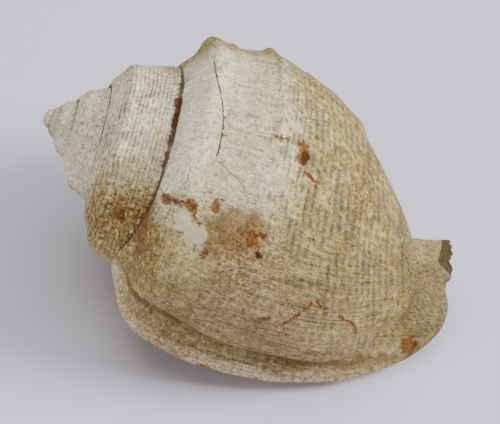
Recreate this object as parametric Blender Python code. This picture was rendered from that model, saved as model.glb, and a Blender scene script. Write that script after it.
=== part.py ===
"""Bonnet shell: a weathered fossil snail shell, one grown piece, lying on its opening.

The shell is a tube that winds round an axis and widens as it goes. Its outside is drawn as a flat sheet
that is rolled up: one side of the sheet is the growth angle, in degrees behind the lip, and the other is
the row, counted from the seam with the whorl before (0) down to the end of the siphonal canal (11).
Further sheets turn over the lip and run back into the hollow. The sheets share their border points, so
that welding them gives one closed body.
"""
import bmesh
import bpy
import numpy as np
from mathutils import Matrix, Vector

# Driving dimensions, in millimetres and degrees
MM = 0.001
SHELL_LENGTH = 91.0          # tip of the spire to the end of the canal, along the axis
UNIT = SHELL_LENGTH / 444.0  # one unit of the profile below
TURNS = 5                    # whorls modelled, the last one included
TIP_HEIGHT = 0.5             # from the axis's start to the top of the rounded tip
PITCH_PER_TURN = 1.931       # growth of every distance along the axis in one turn
GIRTH_PER_TURN = 1.889       # growth of every radius in one turn
KNOBS_PER_TURN = 11
KNOB_ANGLE = -173.0          # a knob of the shoulder stands here
WALL = 2.4                   # inside the last whorl
LIP_WALL = 4.6               # at the thickened outer lip
LIP_ROLL = 3.0               # height of the rounded roll along the lip
LIP_GROOVE = 2.6             # depth of the groove behind the roll
CALLUS = 0.7                 # smooth layer on the inner lip
CANAL_FLOOR = 1.4            # from the axis, at the canal's open end
CANAL_GAP = 16.0             # half the canal's open slit, in degrees round the axis
CANAL_LIFT = 2.7             # how far the canal bends towards the back of the shell
BACK_ANGLE = -118.0          # growth angle of the middle of the shell's back

# How it lies: the axis dips towards the canal, and the lip points this far below the level
AXIS_DIP = 18.0
LIP_DROP = 29.9
WORN_FLAT = 0.7              # worn off the places that it rests on, in millimetres

# The profile of the last whorl at six growth angles: rows 0 to 11, radius from the axis and distance
# from the tip, both in UNITs. Row 0 is the seam, 1 the ramp, 2 the keel, 5 the line where a further
# whorl would join, 8 the neck and 11 the rim of the canal's end.
STATIONS = (-360.0, -270.0, -173.0, -83.0, -25.0, 0.0)
RADIUS = (
    (69, 86, 103, 112, 120, 125, 118, 93, 55, 32, 23, 22),
    (83, 99, 116, 126, 135, 135, 120, 89, 50, 25, 20, 22),
    (95, 107, 125, 131, 140, 135, 123, 87, 45, 20, 18, 22),
    (106, 124, 145, 157, 167, 161, 141, 104, 58, 31, 24, 22),
    (108, 131, 153, 163, 169, 166, 151, 114, 80, 50, 33, 23),
    (109, 123, 145, 161, 166, 158, 136, 108, 82, 55, 37, 24),
)
REACH = (
    (72, 78, 94, 112, 131, 150, 175, 205, 245, 300, 370, 429),
    (88, 98, 114, 138, 167, 191, 233, 281, 331, 373, 402, 429),
    (106, 118, 134, 161, 192, 223, 265, 315, 358, 381, 405, 428),
    (132, 139, 155, 185, 224, 261, 307, 352, 389, 404, 420, 435),
    (135, 140, 155, 189, 236, 290, 348, 390, 420, 434, 436, 441),
    (119, 121, 141, 171, 224, 285, 349, 400, 428, 441, 439, 439),
)
ROWS = 11.0
# The front corner of the hollow at some depths behind the lip, in degrees: distance from the tip and
# radius of the pillar there, in UNITs, and the last row that the outer wall reaches
DEPTHS = (0.0, 12.0, 30.0, 60.0, 120.0, 230.0)
CORNER_REACH = (429, 418, 406, 388, 345, 285)
PILLAR_RADIUS = (22, 21, 22, 25, 27, 24)
CORNER_ROW = (11.0, 9.6, 8.9, 8.2, 7.5, 6.9)
CORNER_INSET = 0.7  # rows from the seam to the hollow's back corner

# How finely the sheets are cut: four steps to a knob, and rows on every crest and beside it
STEPS_PER_KNOB = 4
LIP_STEPS = (2.2, 4.5, 7.5, 10.5, 14.0, 18.0)  # degrees behind the lip
SPIRE_ROWS = (0.0, 0.6, 1.2, 1.65, 2.05, 2.5, 3.1, 4.0, 5.0)
BODY_ROWS = (
    (0.0, 0.6, 1.15, 1.65, 2.05, 2.4, 2.58, 2.75, 2.92)
    + (3.3, 3.76, 3.95, 4.14, 4.6, 5.06, 5.25, 5.44, 5.8, 6.16, 6.35, 6.54)
    + (6.9, 7.3, 7.7, 8.1, 8.5, 9.0, 9.5, 10.0, 10.5, 11.0)
)
LIP_ARC = 4
LIP_ARC_STEP = 1.5
DEPTH_STEPS = (4, 9, 15, 22, 30, 40, 52, 66, 82, 100, 120, 142, 165, 190, 212, 230)
GUTTER_STEPS = 10
TIP_STEPS = 3

SHELL_COLOUR = (0.62, 0.56, 0.46, 1.0)


def smooth(x, low, high):
    """0 below low, 1 above high, and a soft step between."""
    t = np.clip((np.asarray(x, float) - low) / (high - low), 0, 1)
    return t * t * (3 - 2 * t)


def bump(x, centre, width):
    return np.exp(-((np.asarray(x, float) - centre) / width) ** 2)


def blend(a, b, t):
    return a + (b - a) * t


def through(x, at, values):
    """A curve through the values at the given places, which doesn't overshoot between them."""
    at = np.asarray(at, float)
    step = np.diff(at)[:, None]
    slope = np.diff(values, axis=0) / step
    tangent = np.zeros_like(values)
    w1 = 2 * step[1:] + step[:-1]
    w2 = step[1:] + 2 * step[:-1]
    alike = slope[:-1] * slope[1:] > 0
    first = np.where(alike, slope[:-1], 1)
    second = np.where(alike, slope[1:], 1)
    tangent[1:-1] = np.where(alike, (w1 + w2) / (w1 / first + w2 / second), 0)
    tangent[0], tangent[-1] = slope[0], slope[-1]
    i = np.clip(np.searchsorted(at, x) - 1, 0, len(at) - 2)
    t = ((x - at[i]) / (at[i + 1] - at[i]))[:, None]
    h = step[i]
    ends = (2 * t**3 - 3 * t**2 + 1) * values[i] + (3 * t**2 - 2 * t**3) * values[i + 1]
    return ends + (t**3 - 2 * t**2 + t) * h * tangent[i] + (t**3 - t**2) * h * tangent[i + 1]


def along_rows(controls, row):
    """The smooth curve through the control rows, read at the given rows."""
    last = controls.shape[1] - 2
    before = 2 * controls[:, :1] - controls[:, 1:2]
    after = 2 * controls[:, -1:] - controls[:, -2:-1]
    p = np.concatenate([before, controls, after], axis=1)
    row = np.broadcast_to(row, (len(controls), np.shape(row)[-1]))
    i = np.clip(np.floor(row).astype(int), 0, last)
    t = (row - i)[..., None]
    n = np.arange(len(controls))[:, None]
    a, b, c, d = p[n, i], p[n, i + 1], p[n, i + 2], p[n, i + 3]
    cubic = (-a + 3 * b - 3 * c + d) * t**3
    return 0.5 * (2 * b + (c - a) * t + (2 * a - 5 * b + 4 * c - d) * t**2 + cubic)


def joining_row(angle):
    """The row of the whorl before where the seam lies: it climbs as the shell ends its growth."""
    return 5.0 - 1.7 * smooth(angle, -75, 0)


def profile_rows(angle):
    """(radius, reach) of the twelve rows at each growth angle, in millimetres."""
    last_whorl = np.clip(angle, -360, 0)
    radius = np.exp(through(last_whorl, STATIONS, np.log(np.array(RADIUS, float))))
    reach = np.exp(through(last_whorl, STATIONS, np.log(np.array(REACH, float))))
    earlier = np.minimum(angle + 360, 0)[:, None]
    radius = radius * GIRTH_PER_TURN ** (earlier / 360)
    reach = reach * PITCH_PER_TURN ** (earlier / 360)
    # Inside the hollow the last three rows follow the pillar down to the front corner
    depth = -earlier[:, 0]
    corner = np.interp(depth, DEPTHS, CORNER_REACH)
    pillar = np.interp(depth, DEPTHS, PILLAR_RADIUS)
    inside = np.minimum(depth / 25, 1)
    for row, share in ((9, 0.3), (10, 0.68), (11, 1.0)):
        reach[:, row] = blend(reach[:, row], blend(reach[:, 8], corner, share), inside)
        radius[:, row] = blend(radius[:, row], pillar * (1.35 - 0.35 * share), inside)
    return np.stack([radius, reach], axis=-1) * UNIT


def section(angle, row):
    """(radius, reach) of the plain outside. The seam of the last whorl lies on the whorl before."""
    controls = profile_rows(angle)
    last = angle > -360
    if last.any():
        whorl_before = profile_rows(angle[last] - 360)
        controls[last, 0] = along_rows(whorl_before, joining_row(angle[last])[:, None])[:, 0]
    return along_rows(controls, row)


def outward(angle, row, step=0.02):
    """Unit normal of the section, in its own plane."""
    low = section(angle, np.maximum(row - step, 0))
    high = section(angle, np.minimum(row + step, ROWS))
    along = high - low
    normal = np.stack([along[..., 1], -along[..., 0]], axis=-1)
    return normal / np.linalg.norm(normal, axis=-1, keepdims=True)


def relief(angle, row):
    """Height that stands proud of the plain outside, in millimetres."""
    turn = angle[:, None]
    girth = GIRTH_PER_TURN ** (turn / 360) * UNIT
    knob = (0.5 + 0.5 * np.cos(np.radians(KNOBS_PER_TURN * (turn - KNOB_ANGLE))))
    last = smooth(turn, -430, -330)
    fading = 1 - 0.75 * smooth(turn, -110, -40)
    above_seam = 1 - smooth(row, 3.6, 4.7) * (1 - smooth(turn, -400, -360))
    height = (8 + 2 * last) * knob**1.8 * bump(row, 2.05, 0.5)
    height = height + 4 * knob**1.8 * bump(row, 3.0, 0.9) * above_seam
    height = (height + 3 * bump(row, 2.0, 0.35)) * girth
    for ridge, proud in ((2.75, 3.0), (3.95, 5.5), (5.25, 4.0), (6.35, 4.0)):
        nodes = (0.2 + 0.8 * knob) * smooth(turn, -350, -250)
        height = height + UNIT * proud * nodes * bump(row, ridge, 0.17)
    height = height * fading
    # The lip: a rounded roll along the edge and a groove behind it
    behind_edge = -np.radians(turn) * section(angle, row)[..., 0]
    along_lip = smooth(row, 0.8, 3.0) * (turn > -60)
    roll = LIP_ROLL * bump(behind_edge, 2.8, 3.0) * (1 - smooth(row, 8.6, 10.2))
    groove = LIP_GROOVE * bump(behind_edge, 8.8, 2.8) * (1 - smooth(row, 7.2, 8.9))
    height = height + along_lip * (roll - groove)
    # The callus: a thin smooth layer spread over the inner lip
    callus_edge = -318 + 10 * np.sin(row * 0.9)
    spread = 1 - smooth(turn, callus_edge - 7, callus_edge + 3)
    height = height + CALLUS * spread * smooth(turn, -400, -362) * smooth(row, 3.4, 4.4)
    return height * smooth(row, 0.0, 0.25)


def slit_turn(angle, row):
    """Degrees by which the front rows draw back from the canal's slit, on both sides of it."""
    turn = angle[:, None]
    share = -(np.clip(turn, -360, 0) + 180) / 180
    fade = 1 - smooth(-(turn + 360), 0, 60)
    return CANAL_GAP * smooth(row, 8.2, 10.2) * share * fade


def in_space(degrees, radius_reach):
    """Points round the axis. The canal is bent towards the shell's back."""
    turn = np.radians(degrees)
    radius, reach = radius_reach[..., 0], radius_reach[..., 1]
    near_axis = 1 / (1 + (radius / (40 * UNIT)) ** 4)
    lift = 2 * CANAL_LIFT * smooth(reach / UNIT, 375, 480) * near_axis
    back = np.radians(BACK_ANGLE)
    x = radius * np.cos(turn) + lift * np.cos(back)
    y = radius * np.sin(turn) + lift * np.sin(back)
    return np.stack([x, y, reach], axis=-1)


def outside(angle, row, share=1.0):
    """Points of the outside, with this share of its relief."""
    height = relief(angle, row) * share
    flat = section(angle, row) + outward(angle, row) * height[..., None]
    return in_space(angle[:, None] + slit_turn(angle, row), flat)


def lining(depth, row):
    """Points of the outer wall's inner face, at a depth in degrees behind the lip."""
    angle = -depth
    lip = blend(LIP_WALL, 2.2, smooth(row, 7.8, 10.0))
    wall = blend(lip, WALL, smooth(depth, 8, 34)[:, None])
    # Thin where it rises off the whorl before, and for longer near the lip
    deeper = smooth(depth, 20, 80)[:, None]
    wall = wall * smooth(row, 0.3 - 1.5 * deeper, 3.4 - 1.8 * deeper)
    flat = section(angle, row) - outward(angle, row) * wall[..., None]
    fade = 1 - smooth(depth, 0, 45)[:, None]
    return in_space(angle[:, None] + slit_turn(angle * 0, row) * fade, flat)


def back_corner(depth):
    """Where the outer wall's lining meets the whorl before, just inside the seam."""
    row = joining_row(-depth) + CORNER_INSET * smooth(depth, 0, 8)
    return outside(-360 - depth, row[:, None], (1 - smooth(depth, 0, 30))[:, None])[:, 0]


def body_row_table(angle):
    """Rows of the last whorl's sheet. At its start the first of them meet the sheet of the spire."""
    start = joining_row(0.0)
    upper = start * np.array(SPIRE_ROWS) / SPIRE_ROWS[-1]
    lower = np.linspace(start, ROWS, len(BODY_ROWS) - len(SPIRE_ROWS) + 1)[1:]
    settled = smooth(angle, -360, -300)[:, None]
    return blend(np.concatenate([upper, lower]), np.array(BODY_ROWS), settled)


def growth_angles():
    """Angles of the outside, the same in every turn, from the tip to the lip."""
    step = 360 / (KNOBS_PER_TURN * STEPS_PER_KNOB)
    even = np.arange(KNOB_ANGLE % step, 360, step)
    even = even[(even > 0.4 * step) & (even < 360 - max(LIP_STEPS) - 0.5 * step)]
    turn = np.concatenate([[0.0], even, 360 - np.array(LIP_STEPS)[::-1]])
    return np.concatenate([turn - 360 * (n + 1) for n in range(TURNS)][::-1] + [[0.0]])


def spire_sheet(angles):
    """The earlier whorls. The first of them swells out of the rounded tip."""
    spire = angles[angles <= -360]
    row = joining_row(spire + 360)[:, None] * np.array(SPIRE_ROWS) / SPIRE_ROWS[-1]
    points = outside(spire, row)
    turn = (len(spire) - 1) // (TURNS - 1)
    points[:-turn, -1] = points[turn:, 0]
    swell = smooth(spire, spire[0], spire[0] + 330)[:, None, None]
    return blend(points[:, -1:], points, swell)


def tip_sheet(ring):
    """A small dome over the ring where the first whorl starts."""
    swing = np.linspace(0, np.pi / 2, TIP_STEPS + 1)[:, None, None]
    top = np.array([0, 0, TIP_HEIGHT])
    flat = ring * np.array([1, 1, 0])
    rise = ring[None] * np.array([0, 0, 1])
    return flat * np.cos(swing) + blend(rise, top, np.sin(swing))


def lip_sheet(rows):
    """From the outside over the rounded edge of the lip to the lining."""
    step = np.arange(LIP_ARC + 1)
    here = np.zeros(1)
    outer = outside(here, rows)[0]
    inner = lining(here, rows)[0]
    swing = (np.pi * step / LIP_ARC)[:, None, None]
    forward = np.array([0.0, 1.0, 0.0])
    half_wall = np.linalg.norm(inner - outer, axis=-1)[None, :, None] / 2
    arc = blend(outer, inner, (1 - np.cos(swing)) / 2) + 0.75 * half_wall * np.sin(swing) * forward
    corner = back_corner(step * LIP_ARC_STEP)[:, None]
    return blend(corner, arc, smooth(rows, 0.0, 1.6)[..., None])


def lining_sheet(rows, depth):
    reach_row = rows * (np.interp(depth, DEPTHS, CORNER_ROW) / ROWS)[:, None]
    wall = lining(depth, reach_row)
    corner = back_corner(depth + LIP_ARC * LIP_ARC_STEP)[:, None]
    return blend(corner, wall, smooth(reach_row, 0.0, 1.6)[..., None])


def pillar_sheet(depth):
    """The whorl before and the pillar, from the outside edge back into the hollow."""
    turning = np.arange(LIP_ARC + 1) * LIP_ARC_STEP
    path = np.concatenate([turning, turning[-1] + depth])
    share = np.linspace(0, 1, len(BODY_ROWS) - len(SPIRE_ROWS) + 1)
    first = joining_row(-path) + CORNER_INSET * smooth(path, 0, 8)
    row = first[:, None] + (ROWS - first)[:, None] * share
    return outside(-360 - path, row, (1 - smooth(path, 0, 30))[:, None])


def gutter_sheet(lining_end, pillar_end, depth):
    """The open canal's floor, which turns into the front corner of the hollow."""
    a, b = lining_end[:, None], pillar_end[:, None]
    share = np.linspace(0, np.pi, GUTTER_STEPS + 1)[:, None]
    middle = (a + b) / 2
    on_axis = in_space(0.0, np.stack([middle[..., 2] * 0, middle[..., 2]], axis=-1))
    inward = on_axis - middle
    inward = inward * (1 - CANAL_FLOOR / np.linalg.norm(inward, axis=-1, keepdims=True))
    forward = 0.3 * np.linalg.norm(a - b, axis=-1, keepdims=True) * np.array([0, 0, 1.0])
    bulge = blend(inward, forward, smooth(depth, 0, 40)[:, None, None])
    return middle + (a - b) / 2 * np.cos(share) + bulge * np.sin(share)


def add_sheet(mesh, points):
    """A flat grid rolled into place: its two sides are the two indices of points."""
    across, along = points.shape[0] - 1, points.shape[1] - 1
    made = bmesh.ops.create_grid(mesh, x_segments=across, y_segments=along, size=1.0)["verts"]
    for vert in made:
        i = round((vert.co.x + 1) / 2 * across)
        j = round((vert.co.y + 1) / 2 * along)
        vert.co = Vector(points[i, j])


def add_fan(mesh, ring, middle):
    """A soft cap: the ring's points joined to one in the middle."""
    verts = [mesh.verts.new(Vector(p)) for p in ring]
    top = mesh.verts.new(Vector(middle))
    for a, b in zip(verts, verts[1:] + verts[:1]):
        mesh.faces.new((a, b, top))


def shell_mesh():
    angles = growth_angles()
    body = angles[angles >= -360]
    turn = len(body) - 1
    rows = body_row_table(body)
    depth = np.array((0,) + DEPTH_STEPS, float)
    spire = spire_sheet(angles)
    last_whorl = outside(body, rows)
    lip = lip_sheet(rows[-1:])
    hollow = lining_sheet(np.broadcast_to(rows[-1:], (len(depth), len(rows[0]))), depth)
    pillar = pillar_sheet(depth[1:])
    # Neighbouring sheets share their border points
    joint = len(SPIRE_ROWS) - 1
    last_whorl[0, : joint + 1] = spire[-1]
    last_whorl[-1, 0] = last_whorl[0, joint]
    spire[-turn - 1 :, -1] = last_whorl[:, 0]
    pillar[0] = last_whorl[0, joint:]
    lip[0] = last_whorl[-1]
    lip[:, 0] = pillar[: LIP_ARC + 1, 0]
    hollow[0] = lip[-1]
    hollow[:, 0] = pillar[LIP_ARC:, 0]
    gutter = gutter_sheet(hollow[:, -1], pillar[LIP_ARC:, -1], depth)
    tip = tip_sheet(spire[: turn + 1, 0])
    mesh = bmesh.new()
    for sheet in (tip, spire, last_whorl, lip, hollow, pillar, gutter):
        add_sheet(mesh, sheet)
    # The broken end of the canal is one face round the gutter
    rim = [last_whorl[:, -1], lip[1:, -1], gutter[0, 1:], pillar[LIP_ARC - 1 : 0 : -1, -1]]
    mesh.faces.new([mesh.verts.new(Vector(p)) for p in np.concatenate(rim)])
    # The hollow's far end
    ring = np.concatenate([hollow[-1], gutter[-1][1:-1], pillar[-1][::-1][:-1]])
    middle = ring.mean(axis=0)
    add_fan(mesh, ring, middle + np.cross(middle, (0, 0, 1)) * 0.12)
    bmesh.ops.remove_doubles(mesh, verts=mesh.verts, dist=0.002)
    bmesh.ops.recalc_face_normals(mesh, faces=mesh.faces)
    return mesh


def lying_down():
    """Turns the shell so that it lies on its opening, with its tip towards -X."""
    dip, drop = np.radians(AXIS_DIP), np.radians(LIP_DROP)
    axis = np.array([np.cos(dip), 0, -np.sin(dip)])
    up = np.array([np.sin(dip), 0, np.cos(dip)])
    front = np.array([0, -1.0, 0])
    to_lip = np.cos(drop) * front - np.sin(drop) * up
    beside = -np.sin(drop) * front - np.cos(drop) * up
    return Matrix(np.stack([to_lip, beside, axis], axis=1)).to_4x4()


def main():
    for obj in list(bpy.data.objects):
        bpy.data.objects.remove(obj)
    mesh = shell_mesh()
    mesh.transform(lying_down())
    floor = min(v.co.z for v in mesh.verts) + WORN_FLAT
    for vert in mesh.verts:
        vert.co.z = max(vert.co.z, floor)
    corners = np.array([v.co for v in mesh.verts])
    middle = (corners.min(axis=0) + corners.max(axis=0)) / 2
    mesh.transform(Matrix.Translation((-middle[0], -middle[1], -floor)))
    mesh.transform(Matrix.Scale(MM, 4))
    data = bpy.data.meshes.new("shell")
    mesh.to_mesh(data)
    mesh.free()
    data.shade_smooth()
    chalk = bpy.data.materials.new("shell")
    chalk.use_nodes = True
    surface = chalk.node_tree.nodes["Principled BSDF"]
    surface.inputs["Base Color"].default_value = SHELL_COLOUR
    surface.inputs["Roughness"].default_value = 0.7
    data.materials.append(chalk)
    shell = bpy.data.objects.new("shell", data)
    bpy.context.collection.objects.link(shell)


main()
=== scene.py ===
# %% [markdown]
# # A bonnet shell, lying on its opening
#
# This lesson models one weathered sea-snail shell in Blender. The CAD model of it is loaded first and is
# the frame: it says where everything is and how large it is. Over it comes one finely cut piece that
# stands for the CAD solid, with the colours and the worn, chalky surface of the real shell.

import bpy
import numpy as np
from mathutils import Matrix, Vector


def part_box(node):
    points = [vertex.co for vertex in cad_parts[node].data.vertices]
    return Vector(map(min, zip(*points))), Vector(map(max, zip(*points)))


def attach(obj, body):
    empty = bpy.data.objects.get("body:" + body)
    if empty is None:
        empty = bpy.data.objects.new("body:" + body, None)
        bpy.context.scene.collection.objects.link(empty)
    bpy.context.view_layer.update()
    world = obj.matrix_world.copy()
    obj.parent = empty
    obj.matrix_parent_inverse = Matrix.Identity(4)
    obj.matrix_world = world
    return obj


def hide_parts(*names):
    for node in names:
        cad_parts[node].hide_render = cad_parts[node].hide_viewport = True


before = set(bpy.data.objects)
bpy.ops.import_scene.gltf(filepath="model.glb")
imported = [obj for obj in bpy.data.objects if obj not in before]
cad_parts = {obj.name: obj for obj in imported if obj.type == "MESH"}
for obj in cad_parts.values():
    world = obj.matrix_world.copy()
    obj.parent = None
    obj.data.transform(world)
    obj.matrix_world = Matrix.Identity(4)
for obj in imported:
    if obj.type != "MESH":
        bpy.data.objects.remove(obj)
cad_low, cad_high = (np.array(corner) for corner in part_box("shell"))
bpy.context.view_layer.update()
print("nodes of the frame:", list(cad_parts))
print("CAD box in mm:", np.round((cad_high - cad_low) * 1000, 1))

# %% [markdown]
# ## The camera
#
# The shell is seen from above and from its lip's side, by a long lens, so that it hardly tapers with
# distance. A camera could be aimed by hand with rotations, or with a Track To constraint, which keeps it
# upright. Here its three axes are given as they are: right, up and backwards. They are the columns of its
# matrix, so the slight roll of a camera held in the hand is kept as well.

# %% Camera
CAMERA_PLACE = (0.07420, -0.28719, 0.36383)
CAMERA_RIGHT = (0.9730, 0.2304, -0.0169)
CAMERA_UP = (-0.1637, 0.7391, 0.6534)
CAMERA_BACK = (0.1630, -0.6330, 0.7568)
LENS_MM = 158.1
SENSOR_MM = 36.0
NEAREST_SEEN = 0.01


def add_camera():
    bpy.ops.object.camera_add()
    camera = bpy.context.object
    axes = Matrix((CAMERA_RIGHT, CAMERA_UP, CAMERA_BACK)).transposed().to_4x4()
    axes.translation = CAMERA_PLACE
    camera.matrix_world = axes
    camera.data.sensor_width = SENSOR_MM
    camera.data.lens = LENS_MM
    camera.data.clip_start = NEAREST_SEEN
    bpy.context.scene.camera = camera
    return camera


add_camera()
print("camera is", round(float(np.linalg.norm(CAMERA_PLACE)), 3), "m from the middle of the floor")

# %% [markdown]
# ## How a snail shell grows
#
# The snail adds shell only at its lip, and keeps its proportions while it does, so every whorl is a
# larger copy of the one before. Spinning a circle round a screw would give a plain tube. A real whorl has
# a ramp, a keel with knobs, a long body and a canal, so its section is drawn instead, by twelve rows, at
# six moments of the growth, and everything between is worked out. The angle counts degrees of growth
# behind the lip, and the row counts from the seam (0) to the end of the canal (11). The CAD model is made
# from the same figures, with coarser steps.

# %% Proportions of the shell, in millimetres and degrees
MM = 0.001
SHELL_LENGTH = 91.0
UNIT = SHELL_LENGTH / 444.0
TURNS = 5
TIP_HEIGHT = 0.5
PITCH_PER_TURN = 1.931
GIRTH_PER_TURN = 1.889
KNOBS_PER_TURN = 11
KNOB_ANGLE = -173.0
BACK_ANGLE = -118.0
STATIONS = (-360.0, -270.0, -173.0, -83.0, -25.0, 0.0)
RADIUS = (
    (69, 86, 103, 112, 120, 125, 118, 93, 55, 32, 23, 22),
    (83, 99, 116, 126, 135, 135, 120, 89, 50, 25, 20, 22),
    (95, 107, 125, 131, 140, 135, 123, 87, 45, 20, 18, 22),
    (106, 124, 145, 157, 167, 161, 141, 104, 58, 31, 24, 22),
    (108, 131, 153, 163, 169, 166, 151, 114, 80, 50, 33, 23),
    (109, 123, 145, 161, 166, 158, 136, 108, 82, 55, 37, 24),
)
REACH = (
    (72, 78, 94, 112, 131, 150, 175, 205, 245, 300, 370, 429),
    (88, 98, 114, 138, 167, 191, 233, 281, 331, 373, 402, 429),
    (106, 118, 134, 161, 192, 223, 265, 315, 358, 381, 405, 428),
    (132, 139, 155, 185, 224, 261, 307, 352, 389, 404, 420, 435),
    (135, 140, 155, 189, 236, 290, 348, 390, 420, 434, 436, 441),
    (119, 121, 141, 171, 224, 285, 349, 400, 428, 441, 439, 439),
)
ROWS = 11.0
print(f"{len(RADIUS)} moments by {len(RADIUS[0])} rows, {TURNS} turns, one unit is {UNIT:.4f} mm")

# %% [markdown]
# ## Soft steps and curves
#
# A grown surface has no sudden edges. A hard `if` in a shape would leave one, and a modifier that rounds
# it off would round off the knobs as well. These helpers give soft steps and round bumps from the start,
# and each works on a whole array of points at once.

# %% Soft steps and bumps
def smooth(x, low, high):
    """0 below low, 1 above high, and a soft step between."""
    t = np.clip((np.asarray(x, float) - low) / (high - low), 0, 1)
    return t * t * (3 - 2 * t)


def bump(x, centre, width):
    """1 at the centre, falling off on both sides like a bell."""
    return np.exp(-((np.asarray(x, float) - centre) / width) ** 2)


def blend(a, b, t):
    """a where t is 0, b where t is 1."""
    return a + (b - a) * t


print("a soft step in five places:", np.round(smooth(np.linspace(0, 1, 5), 0, 1), 2))

# %% [markdown]
# ## Curves through a few values
#
# The whorl changes slowly as it grows, and its outline is one smooth line, so a few values are enough for
# both. Straight lines between them would show as creases. The first curve never swings past its values,
# which keeps the growth even, and the second is rounder, as the outline is.

# %% Curves through a few values
def through(x, at, values):
    """A curve through the values at the given places, which doesn't overshoot between them."""
    at = np.asarray(at, float)
    step = np.diff(at)[:, None]
    slope = np.diff(values, axis=0) / step
    tangent = np.zeros_like(values)
    w1 = 2 * step[1:] + step[:-1]
    w2 = step[1:] + 2 * step[:-1]
    alike = slope[:-1] * slope[1:] > 0
    first = np.where(alike, slope[:-1], 1)
    second = np.where(alike, slope[1:], 1)
    tangent[1:-1] = np.where(alike, (w1 + w2) / (w1 / first + w2 / second), 0)
    tangent[0], tangent[-1] = slope[0], slope[-1]
    i = np.clip(np.searchsorted(at, x) - 1, 0, len(at) - 2)
    t = ((x - at[i]) / (at[i + 1] - at[i]))[:, None]
    h = step[i]
    ends = (2 * t**3 - 3 * t**2 + 1) * values[i] + (3 * t**2 - 2 * t**3) * values[i + 1]
    return ends + (t**3 - 2 * t**2 + t) * h * tangent[i] + (t**3 - t**2) * h * tangent[i + 1]


def along_rows(controls, row):
    """The smooth curve through the control rows, read at the given rows."""
    last = controls.shape[1] - 2
    before = 2 * controls[:, :1] - controls[:, 1:2]
    after = 2 * controls[:, -1:] - controls[:, -2:-1]
    p = np.concatenate([before, controls, after], axis=1)
    row = np.broadcast_to(row, (len(controls), np.shape(row)[-1]))
    i = np.clip(np.floor(row).astype(int), 0, last)
    t = (row - i)[..., None]
    n = np.arange(len(controls))[:, None]
    a, b, c, d = p[n, i], p[n, i + 1], p[n, i + 2], p[n, i + 3]
    cubic = (-a + 3 * b - 3 * c + d) * t**3
    return 0.5 * (2 * b + (c - a) * t + (2 * a - 5 * b + 4 * c - d) * t**2 + cubic)


halfway = through(np.array([0.5]), (0, 1, 2), np.array([[0.0], [1.0], [4.0]]))
print("halfway between 0 and 1, on the way to 4:", np.round(halfway[0, 0], 3))

# %% [markdown]
# ## The section of a whorl
#
# On the real shell a section is the line of the lip at one moment of growth: out from the seam, over the
# shoulder with its knobs, down the round body and into the narrow canal. It could be a curve bent by
# hand, but every moment would need its own. Here the six drawn sections are blended by the growth angle,
# and the older whorls come from the same table, made smaller by the growth of a turn.

# %% Section
# The front corner of the hollow at some depths behind the lip, in degrees: distance from the tip and
# radius of the pillar there, in UNITs, and the last row that the outer wall reaches
DEPTHS = (0.0, 12.0, 30.0, 60.0, 120.0, 230.0)
CORNER_REACH = (429, 418, 406, 388, 345, 285)
PILLAR_RADIUS = (22, 21, 22, 25, 27, 24)
CORNER_ROW = (11.0, 9.6, 8.9, 8.2, 7.5, 6.9)


def joining_row(angle):
    """The row of the whorl before where the seam lies: it climbs as the shell ends its growth."""
    return 5.0 - 1.7 * smooth(angle, -75, 0)


def profile_rows(angle):
    """(radius, reach) of the twelve rows at each growth angle, in millimetres."""
    last_whorl = np.clip(angle, -360, 0)
    radius = np.exp(through(last_whorl, STATIONS, np.log(np.array(RADIUS, float))))
    reach = np.exp(through(last_whorl, STATIONS, np.log(np.array(REACH, float))))
    earlier = np.minimum(angle + 360, 0)[:, None]
    radius = radius * GIRTH_PER_TURN ** (earlier / 360)
    reach = reach * PITCH_PER_TURN ** (earlier / 360)
    # Inside the hollow the last three rows follow the pillar down to the front corner
    depth = -earlier[:, 0]
    corner = np.interp(depth, DEPTHS, CORNER_REACH)
    pillar = np.interp(depth, DEPTHS, PILLAR_RADIUS)
    inside = np.minimum(depth / 25, 1)
    for row, share in ((9, 0.3), (10, 0.68), (11, 1.0)):
        reach[:, row] = blend(reach[:, row], blend(reach[:, 8], corner, share), inside)
        radius[:, row] = blend(radius[:, row], pillar * (1.35 - 0.35 * share), inside)
    return np.stack([radius, reach], axis=-1) * UNIT


print("greatest radius at the lip in mm:", round(float(profile_rows(np.zeros(1))[..., 0].max()), 1))

# %% [markdown]
# ## The section of any moment
#
# Each new whorl of a shell is laid onto the one before, so the row where it starts is a row of that whorl.
# The whorls could simply cut through each other, but then the seam would wander. Here the start is read
# off the whorl before. What stands proud later needs to know which way is out, so that is worked out too.

# %% Section of any moment
def section(angle, row):
    """(radius, reach) of the plain outside. The seam of the last whorl lies on the whorl before."""
    controls = profile_rows(angle)
    last = angle > -360
    if last.any():
        whorl_before = profile_rows(angle[last] - 360)
        controls[last, 0] = along_rows(whorl_before, joining_row(angle[last])[:, None])[:, 0]
    return along_rows(controls, row)


def outward(angle, row, step=0.02):
    """Unit normal of the section, in its own plane."""
    low = section(angle, np.maximum(row - step, 0))
    high = section(angle, np.minimum(row + step, ROWS))
    along = high - low
    normal = np.stack([along[..., 1], -along[..., 0]], axis=-1)
    return normal / np.linalg.norm(normal, axis=-1, keepdims=True)


shoulder = section(np.zeros(1), np.array([[2.0]]))[0, 0]
print("radius and reach of the shoulder at the lip in mm:", np.round(shoulder, 1))

# %% [markdown]
# ## Knobs, ridges and the rolled lip
#
# What stands proud of the plain section could be sculpted, but knobs that grow with the whorl are easier
# to give as a height over the sheet: knobs on the shoulder, low knobbly ridges below them, and at the
# mouth a thick roll with a groove behind it. These are their sizes. Small swellings are added to them,
# because a real shell is never quite even, and without them it would look turned on a lathe.

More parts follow.
